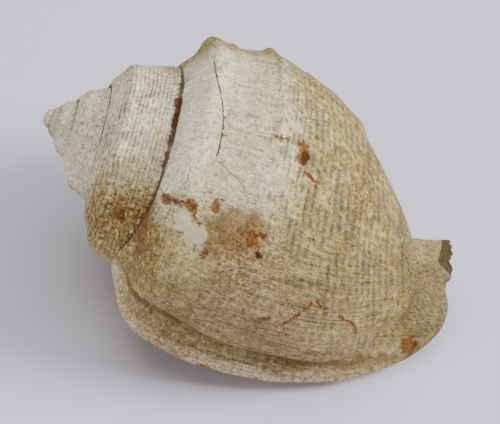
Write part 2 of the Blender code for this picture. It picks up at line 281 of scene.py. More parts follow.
# %% Sizes of the relief
# Heights over the plain sheet of the last whorl, in UNITs, and the row that each sits on
KNOB_HEIGHT, LAST_WHORL_KNOB, KNOB_ROW = 8, 2, 2.05
LOWER_KNOB_HEIGHT, LOWER_KNOB_ROW = 4, 3.0
KEEL_HEIGHT, KEEL_ROW = 3, 2.0
KNOB_SHARPNESS = 1.8
RIDGES = ((2.75, 3.0), (3.95, 5.5), (5.25, 4.0), (6.35, 4.0))
RAMP_FILLING, RAMP_ROW = 5, 1.05
SWELLING = 1.6
# Heights of the lip's roll, the groove behind it and the callus, in millimetres
LIP_ROLL = 3.0
LIP_GROOVE = 2.6
CALLUS = 0.7


def unevenness(turn, row):
    """Slow swellings of the grown surface, about -1 to 1."""
    turn, row = np.broadcast_arrays(turn, row)
    a = np.sin(0.093 * turn + 1.7 * row + 1.3 * np.sin(0.041 * turn + row))
    b = np.sin(0.157 * turn - 2.3 * row + 0.4)
    c = np.sin(0.034 * turn + 3.1 * row - 1.1 * np.sin(0.07 * turn))
    return (a + b + c) / 3


print("knobs on the last whorl are", round((KNOB_HEIGHT + LAST_WHORL_KNOB) * UNIT, 1), "mm high")

# %% [markdown]
# ## The relief
#
# Each part of the relief is a height times where it is: knobs by the angle of growth and the row, ridges
# by the row, the roll and its groove by the distance from the edge of the lip. Separate pieces could be
# laid on the shell, but a knob isn't glued on, it is a fold of the same wall. Added up as one height, they
# melt into each other, and they fade where the real ones are worn.

# %% Relief
def relief(angle, row):
    """Height that stands proud of the plain outside, in millimetres."""
    turn = angle[:, None]
    girth = GIRTH_PER_TURN ** (turn / 360) * UNIT
    knob = 0.5 + 0.5 * np.cos(np.radians(KNOBS_PER_TURN * (turn - KNOB_ANGLE)))
    last = smooth(turn, -430, -330)
    fading = 1 - 0.8 * smooth(turn, -140, -80)
    above_seam = 1 - smooth(row, 3.6, 4.7) * (1 - smooth(turn, -400, -360))
    knob_height = KNOB_HEIGHT + LAST_WHORL_KNOB * last
    height = knob_height * knob**KNOB_SHARPNESS * bump(row, KNOB_ROW, 0.5)
    lower_knob = knob**KNOB_SHARPNESS * bump(row, LOWER_KNOB_ROW, 0.9)
    height = height + LOWER_KNOB_HEIGHT * lower_knob * above_seam
    height = (height + KEEL_HEIGHT * bump(row, KEEL_ROW, 0.35)) * girth
    for ridge, proud in RIDGES:
        nodes = (0.2 + 0.8 * knob) * smooth(turn, -350, -250)
        height = height + UNIT * proud * nodes * bump(row, ridge, 0.17)
    height = height * fading
    filled = smooth(turn, -150, -110) * (1 - smooth(turn, -50, -20))
    height = height + RAMP_FILLING * girth * bump(row, RAMP_ROW, 0.9) * filled
    height = height + SWELLING * girth * unevenness(turn, row) * (1 - smooth(turn, -14, -5))
    # The lip: a rounded roll along the edge and a groove behind it
    behind_edge = -np.radians(turn) * section(angle, row)[..., 0]
    along_lip = smooth(row, 0.8, 3.0) * (turn > -60)
    roll = LIP_ROLL * bump(behind_edge, 3.4, 3.4) * (1 - smooth(row, 8.6, 10.2))
    groove = LIP_GROOVE * bump(behind_edge, 9.6, 2.5) * (1 - smooth(row, 7.2, 8.9))
    height = height + along_lip * (roll - groove)
    # The callus: a thin smooth layer spread over the inner lip
    callus_edge = -318 + 10 * np.sin(row * 0.9)
    spread = 1 - smooth(turn, callus_edge - 7, callus_edge + 3)
    height = height + CALLUS * spread * smooth(turn, -400, -362) * smooth(row, 3.4, 4.4)
    return height * smooth(row, 0.0, 0.25)


one_knob = relief(np.array([KNOB_ANGLE]), np.array([[KNOB_ROW]]))
print("a knob on the back stands proud by", np.round(one_knob[0, 0], 2), "mm")

# %% [markdown]
# ## From the sheet into space
#
# So far a point is only a distance from the axis and a distance along it. A Screw modifier could wind a
# section round the axis, but the section would keep its shape. Here each point is turned by its own
# growth angle. Near its end the canal bends towards the back of the shell, as the real one does, and its
# open slit draws the front rows apart.

# %% Winding
CANAL_GAP = 16.0
CANAL_LIFT = 2.7


def slit_turn(angle, row):
    """Degrees by which the front rows draw back from the canal's slit, on both sides of it."""
    turn = angle[:, None]
    share = -(np.clip(turn, -360, 0) + 180) / 180
    fade = 1 - smooth(-(turn + 360), 0, 60)
    return CANAL_GAP * smooth(row, 8.2, 10.2) * share * fade


def in_space(degrees, radius_reach):
    """Points round the axis. The canal is bent towards the shell's back."""
    turn = np.radians(degrees)
    radius, reach = radius_reach[..., 0], radius_reach[..., 1]
    near_axis = 1 / (1 + (radius / (40 * UNIT)) ** 4)
    lift = 2 * CANAL_LIFT * smooth(reach / UNIT, 375, 480) * near_axis
    back = np.radians(BACK_ANGLE)
    x = radius * np.cos(turn) + lift * np.cos(back)
    y = radius * np.sin(turn) + lift * np.sin(back)
    return np.stack([x, y, reach], axis=-1)


def outside(angle, row, share=1.0):
    """Points of the outside, with this share of its relief."""
    height = relief(angle, row) * share
    flat = section(angle, row) + outward(angle, row) * height[..., None]
    return in_space(angle[:, None] + slit_turn(angle, row), flat)


lip_point = outside(np.zeros(1), np.array([[ROWS / 2]]))[0, 0]
print("the middle of the lip lies at", np.round(lip_point, 1), "mm from the tip")

# %% [markdown]
# ## The inside
#
# The wall of the real shell is thick at the lip, where it stopped growing, and thin behind it. A Solidify
# modifier could give the wall, but its inner face would cut through itself in the narrow parts. The
# lining is the outside moved inwards by a wall that changes from place to place. It meets the whorl
# before in a corner just inside the seam.

# %% Lining
WALL = 2.4
LIP_WALL = 4.6
CANAL_FLOOR = 1.4
CORNER_INSET = 0.7


def lining(depth, row):
    """Points of the outer wall's inner face, at a depth in degrees behind the lip."""
    angle = -depth
    lip = blend(LIP_WALL, 2.2, smooth(row, 7.8, 10.0))
    wall = blend(lip, WALL, smooth(depth, 8, 34)[:, None])
    # Thin where it rises off the whorl before, and for longer near the lip
    deeper = smooth(depth, 20, 80)[:, None]
    wall = wall * smooth(row, 0.3 - 1.5 * deeper, 3.4 - 1.8 * deeper)
    flat = section(angle, row) - outward(angle, row) * wall[..., None]
    fade = 1 - smooth(depth, 0, 45)[:, None]
    return in_space(angle[:, None] + slit_turn(angle * 0, row) * fade, flat)


def back_corner(depth):
    """Where the outer wall's lining meets the whorl before, just inside the seam."""
    row = joining_row(-depth) + CORNER_INSET * smooth(depth, 0, 8)
    return outside(-360 - depth, row[:, None], (1 - smooth(depth, 0, 30))[:, None])[:, 0]


behind, body_row = np.array([60.0]), np.array([[5.0]])
wall_there = np.linalg.norm(outside(-behind, body_row) - lining(behind, body_row))
print("wall 60 degrees behind the lip, knobs and all:", np.round(wall_there, 1), "mm")

# %% [markdown]
# ## How finely the sheets are cut
#
# A real shell has no facets, so the steps are fine enough to hide them: fourteen for each knob. They
# could be even, but the roll of the lip is much smaller than a knob and gets closer ones. The steps of
# one turn are the same in every turn, so a whorl's lower border has its points where the next whorl's
# upper border has them.

# %% Steps
STEPS_PER_KNOB = 14
LIP_STEPS = (0.8, 1.6, 2.4, 3.3, 4.2, 5.2, 6.2, 7.4, 8.6, 10.0, 11.5, 13.0, 14.8, 16.8)
SPIRE_ROWS = np.linspace(0, 5, 45)
BODY_ROWS = np.linspace(0, ROWS, 201)
LIP_ARC = 8
LIP_ARC_STEP = 0.75
DEPTH_STEPS = (1, 2, 3, 4, 5.5, 7, 8.5, 10, 12, 14, 17, 20, 24, 28, 33, 40)
DEPTH_STEPS += (48, 57, 67, 78, 90, 105, 120, 138, 158, 180, 205, 230)
GUTTER_STEPS = 16
TIP_STEPS = 6


def body_row_table(angle):
    """Rows of the last whorl's sheet. At its start the first of them meet the sheet of the spire."""
    start = joining_row(0.0)
    upper = start * np.array(SPIRE_ROWS) / SPIRE_ROWS[-1]
    lower = np.linspace(start, ROWS, len(BODY_ROWS) - len(SPIRE_ROWS) + 1)[1:]
    settled = smooth(angle, -360, -300)[:, None]
    return blend(np.concatenate([upper, lower]), np.array(BODY_ROWS), settled)


def growth_angles():
    """Angles of the outside, the same in every turn, from the tip to the lip."""
    step = 360 / (KNOBS_PER_TURN * STEPS_PER_KNOB)
    even = np.arange(KNOB_ANGLE % step, 360, step)
    even = even[(even > 0.4 * step) & (even < 360 - max(LIP_STEPS) - 0.5 * step)]
    turn = np.concatenate([[0.0], even, 360 - np.array(LIP_STEPS)[::-1]])
    return np.concatenate([turn - 360 * (n + 1) for n in range(TURNS)][::-1] + [[0.0]])


print(len(growth_angles()), "steps of growth,", len(SPIRE_ROWS), "and", len(BODY_ROWS), "rows")

# %% [markdown]
# ## The older whorls and the tip
#
# Seven sheets make the shell: the older whorls, a dome on the tip, the last whorl, the turn over the lip,
# the lining, the pillar that the whorls wind round, and the open canal's floor. One sheet couldn't follow
# it all, because the surface turns back on itself at the lip. The oldest part of a real shell is a tiny
# bead. A small dome stands for it, and closes the tip.

# %% Sheets of the spire
def spire_sheet(angles):
    """The earlier whorls. The first of them swells out of the rounded tip."""
    spire = angles[angles <= -360]
    row = joining_row(spire + 360)[:, None] * np.array(SPIRE_ROWS) / SPIRE_ROWS[-1]
    points = outside(spire, row)
    turn = (len(spire) - 1) // (TURNS - 1)
    points[:-turn, -1] = points[turn:, 0]
    swell = smooth(spire, spire[0], spire[0] + 330)[:, None, None]
    return blend(points[:, -1:], points, swell)


def tip_sheet(ring):
    """A small dome over the ring where the first whorl starts."""
    swing = np.linspace(0, np.pi / 2, TIP_STEPS + 1)[:, None, None]
    top = np.array([0, 0, TIP_HEIGHT])
    flat = ring * np.array([1, 1, 0])
    rise = ring[None] * np.array([0, 0, 1])
    return flat * np.cos(swing) + blend(rise, top, np.sin(swing))


print("steps of growth in one turn:", (len(growth_angles()) - 1) // TURNS)


# %% [markdown]
# ## The lip, the hollow and the pillar
#
# The animal lived in the hollow, and the whorls turn round the pillar. The hollow could be cut out with a
# Boolean modifier, but a cut leaves ragged edges on a wall as thin as this one. These sheets meet each
# other instead: the turn over the lip ends where the lining starts, and the canal's floor joins the
# lining to the pillar.

# %% Sheets of the lip and the hollow
LIP_ROUNDNESS = 0.75


def lip_sheet(rows):
    """From the outside over the rounded edge of the lip to the lining."""
    step = np.arange(LIP_ARC + 1)
    here = np.zeros(1)
    outer = outside(here, rows)[0]
    inner = lining(here, rows)[0]
    swing = (np.pi * step / LIP_ARC)[:, None, None]
    forward = np.array([0.0, 1.0, 0.0])
    half_wall = np.linalg.norm(inner - outer, axis=-1)[None, :, None] / 2
    arc = blend(outer, inner, (1 - np.cos(swing)) / 2)
    arc = arc + LIP_ROUNDNESS * half_wall * np.sin(swing) * forward
    corner = back_corner(step * LIP_ARC_STEP)[:, None]
    return blend(corner, arc, smooth(rows, 0.0, 1.6)[..., None])


def lining_sheet(rows, depth):
    """The hollow's outer side, whose last row climbs as the hollow goes back."""
    reach_row = rows * (np.interp(depth, DEPTHS, CORNER_ROW) / ROWS)[:, None]
    wall = lining(depth, reach_row)
    corner = back_corner(depth + LIP_ARC * LIP_ARC_STEP)[:, None]
    return blend(corner, wall, smooth(reach_row, 0.0, 1.6)[..., None])


def pillar_sheet(depth):
    """The whorl before and the pillar, from the outside edge back into the hollow."""
    turning = np.arange(LIP_ARC + 1) * LIP_ARC_STEP
    path = np.concatenate([turning, turning[-1] + depth])
    share = np.linspace(0, 1, len(BODY_ROWS) - len(SPIRE_ROWS) + 1)
    first = joining_row(-path) + CORNER_INSET * smooth(path, 0, 8)
    row = first[:, None] + (ROWS - first)[:, None] * share
    return outside(-360 - path, row, (1 - smooth(path, 0, 30))[:, None])


def gutter_sheet(lining_end, pillar_end, depth):
    """The open canal's floor, which turns into the front corner of the hollow."""
    a, b = lining_end[:, None], pillar_end[:, None]
    share = np.linspace(0, np.pi, GUTTER_STEPS + 1)[:, None]
    middle = (a + b) / 2
    on_axis = in_space(0.0, np.stack([middle[..., 2] * 0, middle[..., 2]], axis=-1))
    inward = on_axis - middle
    inward = inward * (1 - CANAL_FLOOR / np.linalg.norm(inward, axis=-1, keepdims=True))
    forward = 0.3 * np.linalg.norm(a - b, axis=-1, keepdims=True) * np.array([0, 0, 1.0])
    bulge = blend(inward, forward, smooth(depth, 0, 40)[:, None, None])
    return middle + (a - b) / 2 * np.cos(share) + bulge * np.sin(share)


print("the lip turns over in", LIP_ARC, "steps, and the hollow goes back", DEPTH_STEPS[-1], "degrees")


# %% [markdown]
# ## The broken end of the canal
#
# The end of the canal is the most fragile place of such a shell, and this one is broken off aslant. It
# could be cut with Bisect, but that leaves a flat saw cut. The last millimetres are pushed back by an
# uneven amount instead, so the rim stays whole and still looks broken.

# %% Broken end
# In millimetres: the canal's middle beside the axis, how far from it and from where on the break reaches
CANAL_MIDDLE = (-1.3, -2.4)
BREAK_RADIUS = (5.5, 9.0)
BREAK_START = (84.0, 89.5)
BREAK_SLOPE = 0.1
BREAK_DIRECTION = (0.165, -0.986)


def broken_end(points):
    """The canal is broken off aslant, lowest on its upper side, and the break is uneven."""
    x, y, reach = points[..., 0] - CANAL_MIDDLE[0], points[..., 1] - CANAL_MIDDLE[1], points[..., 2]
    near = smooth(reach, *BREAK_START) * (1 - smooth(np.hypot(x, y), *BREAK_RADIUS))
    aslant = BREAK_SLOPE * (BREAK_DIRECTION[0] * x + BREAK_DIRECTION[1] * y + 0.8)
    uneven = 0.3 * np.sin(1.9 * x + 0.7) * np.sin(2.3 * y) + 0.15 * np.sin(4.1 * x - 3.7 * y)
    reach = reach - near * (aslant + uneven)
    return np.concatenate([points[..., :2], reach[..., None]], axis=-1)


canal_end = np.array([[*CANAL_MIDDLE, BREAK_START[1]]])
taken_off = canal_end[0, 2] - broken_end(canal_end)[0, 2]
print("the break takes", round(float(taken_off), 2), "mm off the middle of the canal")


# %% [markdown]
# ## The sheets side by side
#
# Neighbouring sheets have to meet point for point, or the merging later would leave gaps. They could be
# snapped together by hand. Here the border of each is copied onto the next. The whorls near the tip are
# the oldest and most worn, so they are drawn a little straighter than they grew.

# %% All sheets
TIP_WEAR = 0.4
WORN_FROM, WORN_FULLY = 640, 800
PILLAR_FIRST_ROW = 3.3
LIP_TURN_GROWTH = 0.3


def sheets_of_the_shell():
    """name: (points, growth in turns, rows, how far inside), with borders shared between neighbours."""
    angles = growth_angles()
    body = angles[angles >= -360]
    turn = len(body) - 1
    rows = body_row_table(body)
    depth = np.array((0,) + DEPTH_STEPS, float)
    spire = spire_sheet(angles)
    straight = blend(spire[:, :1], spire[:, -1:], np.linspace(0, 1, spire.shape[1])[:, None])
    spire_angles = angles[angles <= -360]
    wear = TIP_WEAR * smooth(-spire_angles, WORN_FROM, WORN_FULLY)
    spire = blend(spire, straight, wear[:, None, None])
    last_whorl = outside(body, rows)
    lip = lip_sheet(rows[-1:])
    hollow = lining_sheet(np.broadcast_to(rows[-1:], (len(depth), len(rows[0]))), depth)
    pillar = pillar_sheet(depth[1:])
    joint = len(SPIRE_ROWS) - 1
    last_whorl[0, : joint + 1] = spire[-1]
    last_whorl[-1, 0] = last_whorl[0, joint]
    spire[-turn - 1 :, -1] = last_whorl[:, 0]
    pillar[0] = last_whorl[0, joint:]
    lip[0] = last_whorl[-1]
    lip[:, 0] = pillar[: LIP_ARC + 1, 0]
    hollow[0] = lip[-1]
    hollow[:, 0] = pillar[LIP_ARC:, 0]
    gutter = gutter_sheet(hollow[:, -1], pillar[LIP_ARC:, -1], depth)
    tip = tip_sheet(spire[: turn + 1, 0])
    last_whorl, lip, hollow, pillar, gutter = map(broken_end, (last_whorl, lip, hollow, pillar, gutter))
    spire_rows = joining_row(spire_angles + 360)[:, None] * SPIRE_ROWS / SPIRE_ROWS[-1]
    arc = np.arange(LIP_ARC + 1) * LIP_ARC_STEP
    path = np.concatenate([arc, arc[-1] + depth[1:]])
    pillar_rows = np.linspace(PILLAR_FIRST_ROW, ROWS, pillar.shape[1])
    return {
        "tip": (tip, spire_angles[: turn + 1] * np.ones((len(tip), 1)), 0.0, 0.0),
        "spire": (spire, spire_angles[:, None], spire_rows, 0.0),
        "last_whorl": (last_whorl, body[:, None], rows, 0.0),
        "lip": (lip, LIP_TURN_GROWTH * arc[:, None], rows[-1], 0.0),
        "hollow": (hollow, -depth[:, None], rows[-1], smooth(depth, 0, 25)[:, None]),
        "pillar": (pillar, -360 - path[:, None], pillar_rows, smooth(path, 6, 60)[:, None]),
        "gutter": (gutter, -depth[:, None], ROWS, smooth(depth, 0, 25)[:, None]),
    }


sheets = sheets_of_the_shell()
print({name: sheet[0].shape[:2] for name, sheet in sheets.items()})

# %% [markdown]
# ## Lying on the floor
#
# An empty shell comes to rest on its opening, and the places that touch the floor are worn a little flat,
# as they are in the CAD model. The object could be rotated, but a finished piece keeps its object at the
# origin, unturned, so the points themselves are turned. The shift is the place of the tip's end of the
# axis.

# %% Lying down
AXIS_DIP = 18.0
LIP_DROP = 29.9
AXIS_START = np.array([-43.87, 2.62, 37.059])


def lying_down(points):
    """Points of the shell in the frame, in metres."""
    dip, drop = np.radians(AXIS_DIP), np.radians(LIP_DROP)
    axis = np.array([np.cos(dip), 0, -np.sin(dip)])
    up = np.array([np.sin(dip), 0, np.cos(dip)])
    front = np.array([0, -1.0, 0])
    to_lip = np.cos(drop) * front - np.sin(drop) * up
    beside = -np.sin(drop) * front - np.cos(drop) * up
    placed = (points @ np.stack([to_lip, beside, axis]) + AXIS_START) * MM
    placed[..., 2] = np.maximum(placed[..., 2], 0)
    return placed


print("the tip lies at", np.round(lying_down(sheets["tip"][0][-1, 0]) * 1000, 1), "mm")

# %% [markdown]
# ## Rolling up the grids
#
# A mesh could be made from bare lists of vertices and faces. Each sheet starts as Blender's Grid primitive
# instead, with as many cuts as the sheet has steps, because that brings its faces and a UV map with it.
# Its vertices are then moved to their places, and its UV map is made to hold the growth: across it the
# turns and up it the rows. The finish uses that map, so that its bands and lines follow the shell.

# %% Points and fields
def deselect_all():
    for obj in bpy.context.selected_objects:
        obj.select_set(False)


def points_of(piece):
    """The points of a piece, one row each."""
    flat = np.empty(len(piece.data.vertices) * 3)
    piece.data.vertices.foreach_get("co", flat)
    return flat.reshape(-1, 3)


def add_field(piece, name, values):
    """Store one number per point, for the finish to read as an attribute."""
    field = piece.data.attributes.new(name, "FLOAT", "POINT")
    field.data.foreach_set("value", values.astype(np.float32))


deselect_all()
print("objects selected now:", len(bpy.context.selected_objects))

# %% [markdown]
# ## One grid for each sheet
#
# The groove between two whorls is where dirt gathers on the real shell. Its place could be found again
# later, but it is known here, from the steps of the sheet, so each point stores its distance from the
# seam. It stores how deep it lies in the hollow, and its distance along the axis, as well.

# %% Grids
FAR_FROM_SEAM = 9.0


def seam_distance(name, points):
    """Millimetres from the seam between two whorls, along the surface."""
    if name not in ("spire", "last_whorl"):
        return FAR_FROM_SEAM
    steps = np.linalg.norm(np.diff(points, axis=1), axis=2)
    below = np.concatenate([np.zeros((len(points), 1)), np.cumsum(steps, axis=1)], axis=1)
    if name == "last_whorl":
        return np.minimum(below, FAR_FROM_SEAM)
    return np.minimum(np.minimum(below, below[:, -1:] - below), FAR_FROM_SEAM)


def rolled_grid(name, points, turn, row, inner):
    """A grid whose vertices are moved onto the sheet, with the growth in its UV map."""
    across, along = points.shape[0] - 1, points.shape[1] - 1
    deselect_all()
    bpy.ops.mesh.primitive_grid_add(x_subdivisions=across, y_subdivisions=along, size=2)
    piece = bpy.context.object
    piece.name = name
    mesh = piece.data
    flat = points_of(piece)
    i = np.rint((flat[:, 0] + 1) / 2 * across).astype(int)
    j = np.rint((flat[:, 1] + 1) / 2 * along).astype(int)
    mesh.vertices.foreach_set("co", lying_down(points)[i, j].ravel())
    growth = np.broadcast_to(turn, points.shape[:2])[i, j] / 360
    rows = np.broadcast_to(row, points.shape[:2])[i, j]
    corner = np.empty(len(mesh.loops), np.int32)
    mesh.loops.foreach_get("vertex_index", corner)
    mesh.uv_layers[0].name = "growth"
    mesh.uv_layers[0].uv.foreach_set("vector", np.stack([growth[corner], rows[corner]], 1).ravel())
    fields = {"inside": inner, "seam": seam_distance(name, points), "reach": points[..., 2]}
    for title, values in fields.items():
        add_field(piece, title, np.broadcast_to(values, points.shape[:2])[i, j])
    return piece


rolled = [rolled_grid(name, *sheet) for name, sheet in sheets.items()]
print(len(rolled), "grids with", sum(len(piece.data.vertices) for piece in rolled), "vertices")

# %% [markdown]
# ## One closed shell
#
# The grids are joined and their shared borders merged. Two rims stay open: the broken end of the canal
# and the far end of the hollow, deep inside. Each is filled on its own, because filling both at once
# would bridge them. The canal's end is then inset a little, as its filling is worn back behind the rim.

# %% Join
CANAL_END_X = 0.034
MERGE_WITHIN = 2e-6
FILLING_INSET, FILLING_WEAR = 0.0005, 0.0007


def select_open_rim(shell, at_canal):
    """Select one of the two open rims: the canal's, or the one deep in the hollow."""
    bpy.ops.object.mode_set(mode="EDIT")
    bpy.ops.mesh.select_mode(type="EDGE")
    bpy.ops.mesh.select_all(action="DESELECT")
    bpy.ops.mesh.select_non_manifold(extend=False, use_wire=False, use_multi_face=False)
    bpy.ops.object.mode_set(mode="OBJECT")
    for edge in shell.data.edges:
        x = shell.data.vertices[edge.vertices[0]].co.x
        if edge.select and (x > CANAL_END_X) != at_canal:
            edge.select = False
    picked = sum(edge.select for edge in shell.data.edges)
    bpy.ops.object.mode_set(mode="EDIT")
    return picked


def join(pieces):
    """Join the grids, merge their borders, fill the two rims and turn all faces outwards."""
    deselect_all()
    for piece in pieces:
        piece.select_set(True)
    bpy.context.view_layer.objects.active = pieces[0]
    bpy.ops.object.join()
    shell = bpy.context.object
    shell.name = "bonnet_shell"
    bpy.ops.object.mode_set(mode="EDIT")
    bpy.ops.mesh.select_all(action="SELECT")
    bpy.ops.mesh.remove_doubles(threshold=MERGE_WITHIN)
    bpy.ops.object.mode_set(mode="OBJECT")
    for at_canal in (True, False):
        print("open rim with", select_open_rim(shell, at_canal), "edges")
        bpy.ops.mesh.edge_face_add()
        if at_canal:
            bpy.ops.mesh.inset(thickness=FILLING_INSET, depth=-FILLING_WEAR)
        bpy.ops.object.mode_set(mode="OBJECT")
    bpy.ops.object.mode_set(mode="EDIT")
    bpy.ops.mesh.select_all(action="SELECT")
    bpy.ops.mesh.normals_make_consistent(inside=False)
    bpy.ops.object.mode_set(mode="OBJECT")
    bpy.ops.object.shade_smooth()
    return shell


shell = join(rolled)
print("triangles:", sum(len(face.vertices) - 2 for face in shell.data.polygons))

# %% [markdown]
# ## Inside the CAD box
#
# The fine surface follows the bumps more closely than the CAD facets, so it can stand a hair outside the
# box. The object's scale could be set, but a finished piece keeps its scale at 1, so the points are moved
# inwards by that hair, from the floor up.

# %% Fit
INSIDE_BY = 0.9999

placed = points_of(shell)
size = placed.max(axis=0) - placed.min(axis=0)
share = np.minimum((cad_high - cad_low) / size, 1) * INSIDE_BY
low = placed.min(axis=0)
room = (cad_high - cad_low) - size * share
shift = cad_low + room / 2
shift[2] = cad_low[2]
placed = (placed - low) * share + shift
shell.data.vertices.foreach_set("co", placed.ravel())
shell.data.update()
print("made smaller by", np.round((1 - share) * 100, 2), "percent")

# %% [markdown]
# ## Where the stains are
#
# The colours of a weathered shell follow two things: how it grew, and where it lay. The bands and lines
# of growth come from the UV map. The stains are placed one by one, and each could be painted with a brush
# in Vertex Paint. Here it is a soft oval at a growth angle and a row, so many millimetres wide along the
# whorl and high across it, so it can be moved by changing a number. They are stored as one number per
# point, and the finish gives them their ragged edges later.

# %% Places on the surface
def fitted(points):
    """Points of the shell in the frame, after the fit above."""
    return (lying_down(points) - low) * share + shift


def frame_point(angle, row):
    """The place of one point of the outside in the frame."""
    return fitted(outside(np.array([float(angle)]), np.array([[float(row)]]))[0, 0])


def directions(angle, row):
    """A point of the outside, and the directions along the whorl, across it and outwards."""
    here = frame_point(angle, row)
    along = frame_point(angle + 0.5, row) - here
    across = frame_point(angle, row + 0.05) - here
    along = along / np.linalg.norm(along)
    across = across - along * (across @ along)
    across = across / np.linalg.norm(across)
    return here, along, across, np.cross(along, across)


def field_of(piece, name):
    """Read back one stored number per point."""
    values = np.empty(len(piece.data.vertices))
    piece.data.attributes[name].data.foreach_get("value", values)
    return values


hidden = smooth(field_of(shell, "inside"), 0.0, 0.3)
print("points hidden in the hollow:", int((hidden > 0.5).sum()), "of", len(placed))

# %% [markdown]
# ## Ovals
#
# A stain is strong in its middle and fades outwards. A texture could be projected onto the shell, but it
# would go through to the far side. So an oval is a bell in three directions: along the whorl, across it
# and through the wall. Where ovals overlap, they build up without ever passing full strength.

# %% Ovals on the surface
def ovals(patches):
    """Soft ovals: growth angle, row, half widths along and across in millimetres, strength."""
    kept = np.ones(len(placed))
    for angle, row, wide, high, strength in patches:
        here, along, across, out = directions(angle, row)
        away = (placed - here) * 1000
        depth = (away @ out) / max(wide, high)
        spread = ((away @ along) / wide) ** 2 + ((away @ across) / high) ** 2 + depth**2
        kept *= 1 - strength * np.exp(-spread * 0.7)
    return (1 - kept) * (1 - hidden)


print("points that one small oval reaches:", int((ovals(((-90, 3, 3, 3, 1.0),)) > 0.1).sum()))

# %% [markdown]
# ## Lines
#
# A crack is much thinner than the faces of the mesh, so its darkness can't be stored on the points. The
# distance from it can, because that changes evenly from point to point, and the shader later draws a thin
# line where it is small. The sign tells the two sides apart, so the distance passes through 0 between
# them.

# %% Lines on the surface
def lines(paths, reach=3.0):
    """(signed distance in mm from the nearest line, how surely a point is beside one)."""
    side = np.full(len(placed), reach)
    near = np.zeros(len(placed))
    best = np.full(len(placed), np.inf)
    for path in paths:
        knots = np.array([directions(angle, row)[0] for angle, row in path])
        outs = np.array([directions(angle, row)[3] for angle, row in path])
        for n, (a, b) in enumerate(zip(knots, knots[1:])):
            length = np.linalg.norm(b - a)
            way = (b - a) / length
            t = (placed - a) @ way / length
            foot = a + np.clip(t, 0, 1)[:, None] * (b - a)
            away = (placed - foot) * 1000
            distance = np.linalg.norm(away, axis=1)
            sign = np.where((placed - a) @ np.cross(outs[n], way) > 0, 1.0, -1.0)
            over = np.maximum(np.maximum(-t if n == 0 else 0, t - 1 if n == len(knots) - 2 else 0), 0)
            closer = distance < best
            best[closer] = distance[closer]
            side[closer] = (sign * distance)[closer]
            sure = (1 - smooth(distance, reach * 0.6, reach)) * (1 - smooth(over * length * 1000, 0.0, 0.8))
            near[closer] = sure[closer]
    return side, near * (1 - hidden)


print("the shoulder towards the lip lies at", np.round(frame_point(-90, KNOB_ROW) * 1000, 1), "mm")
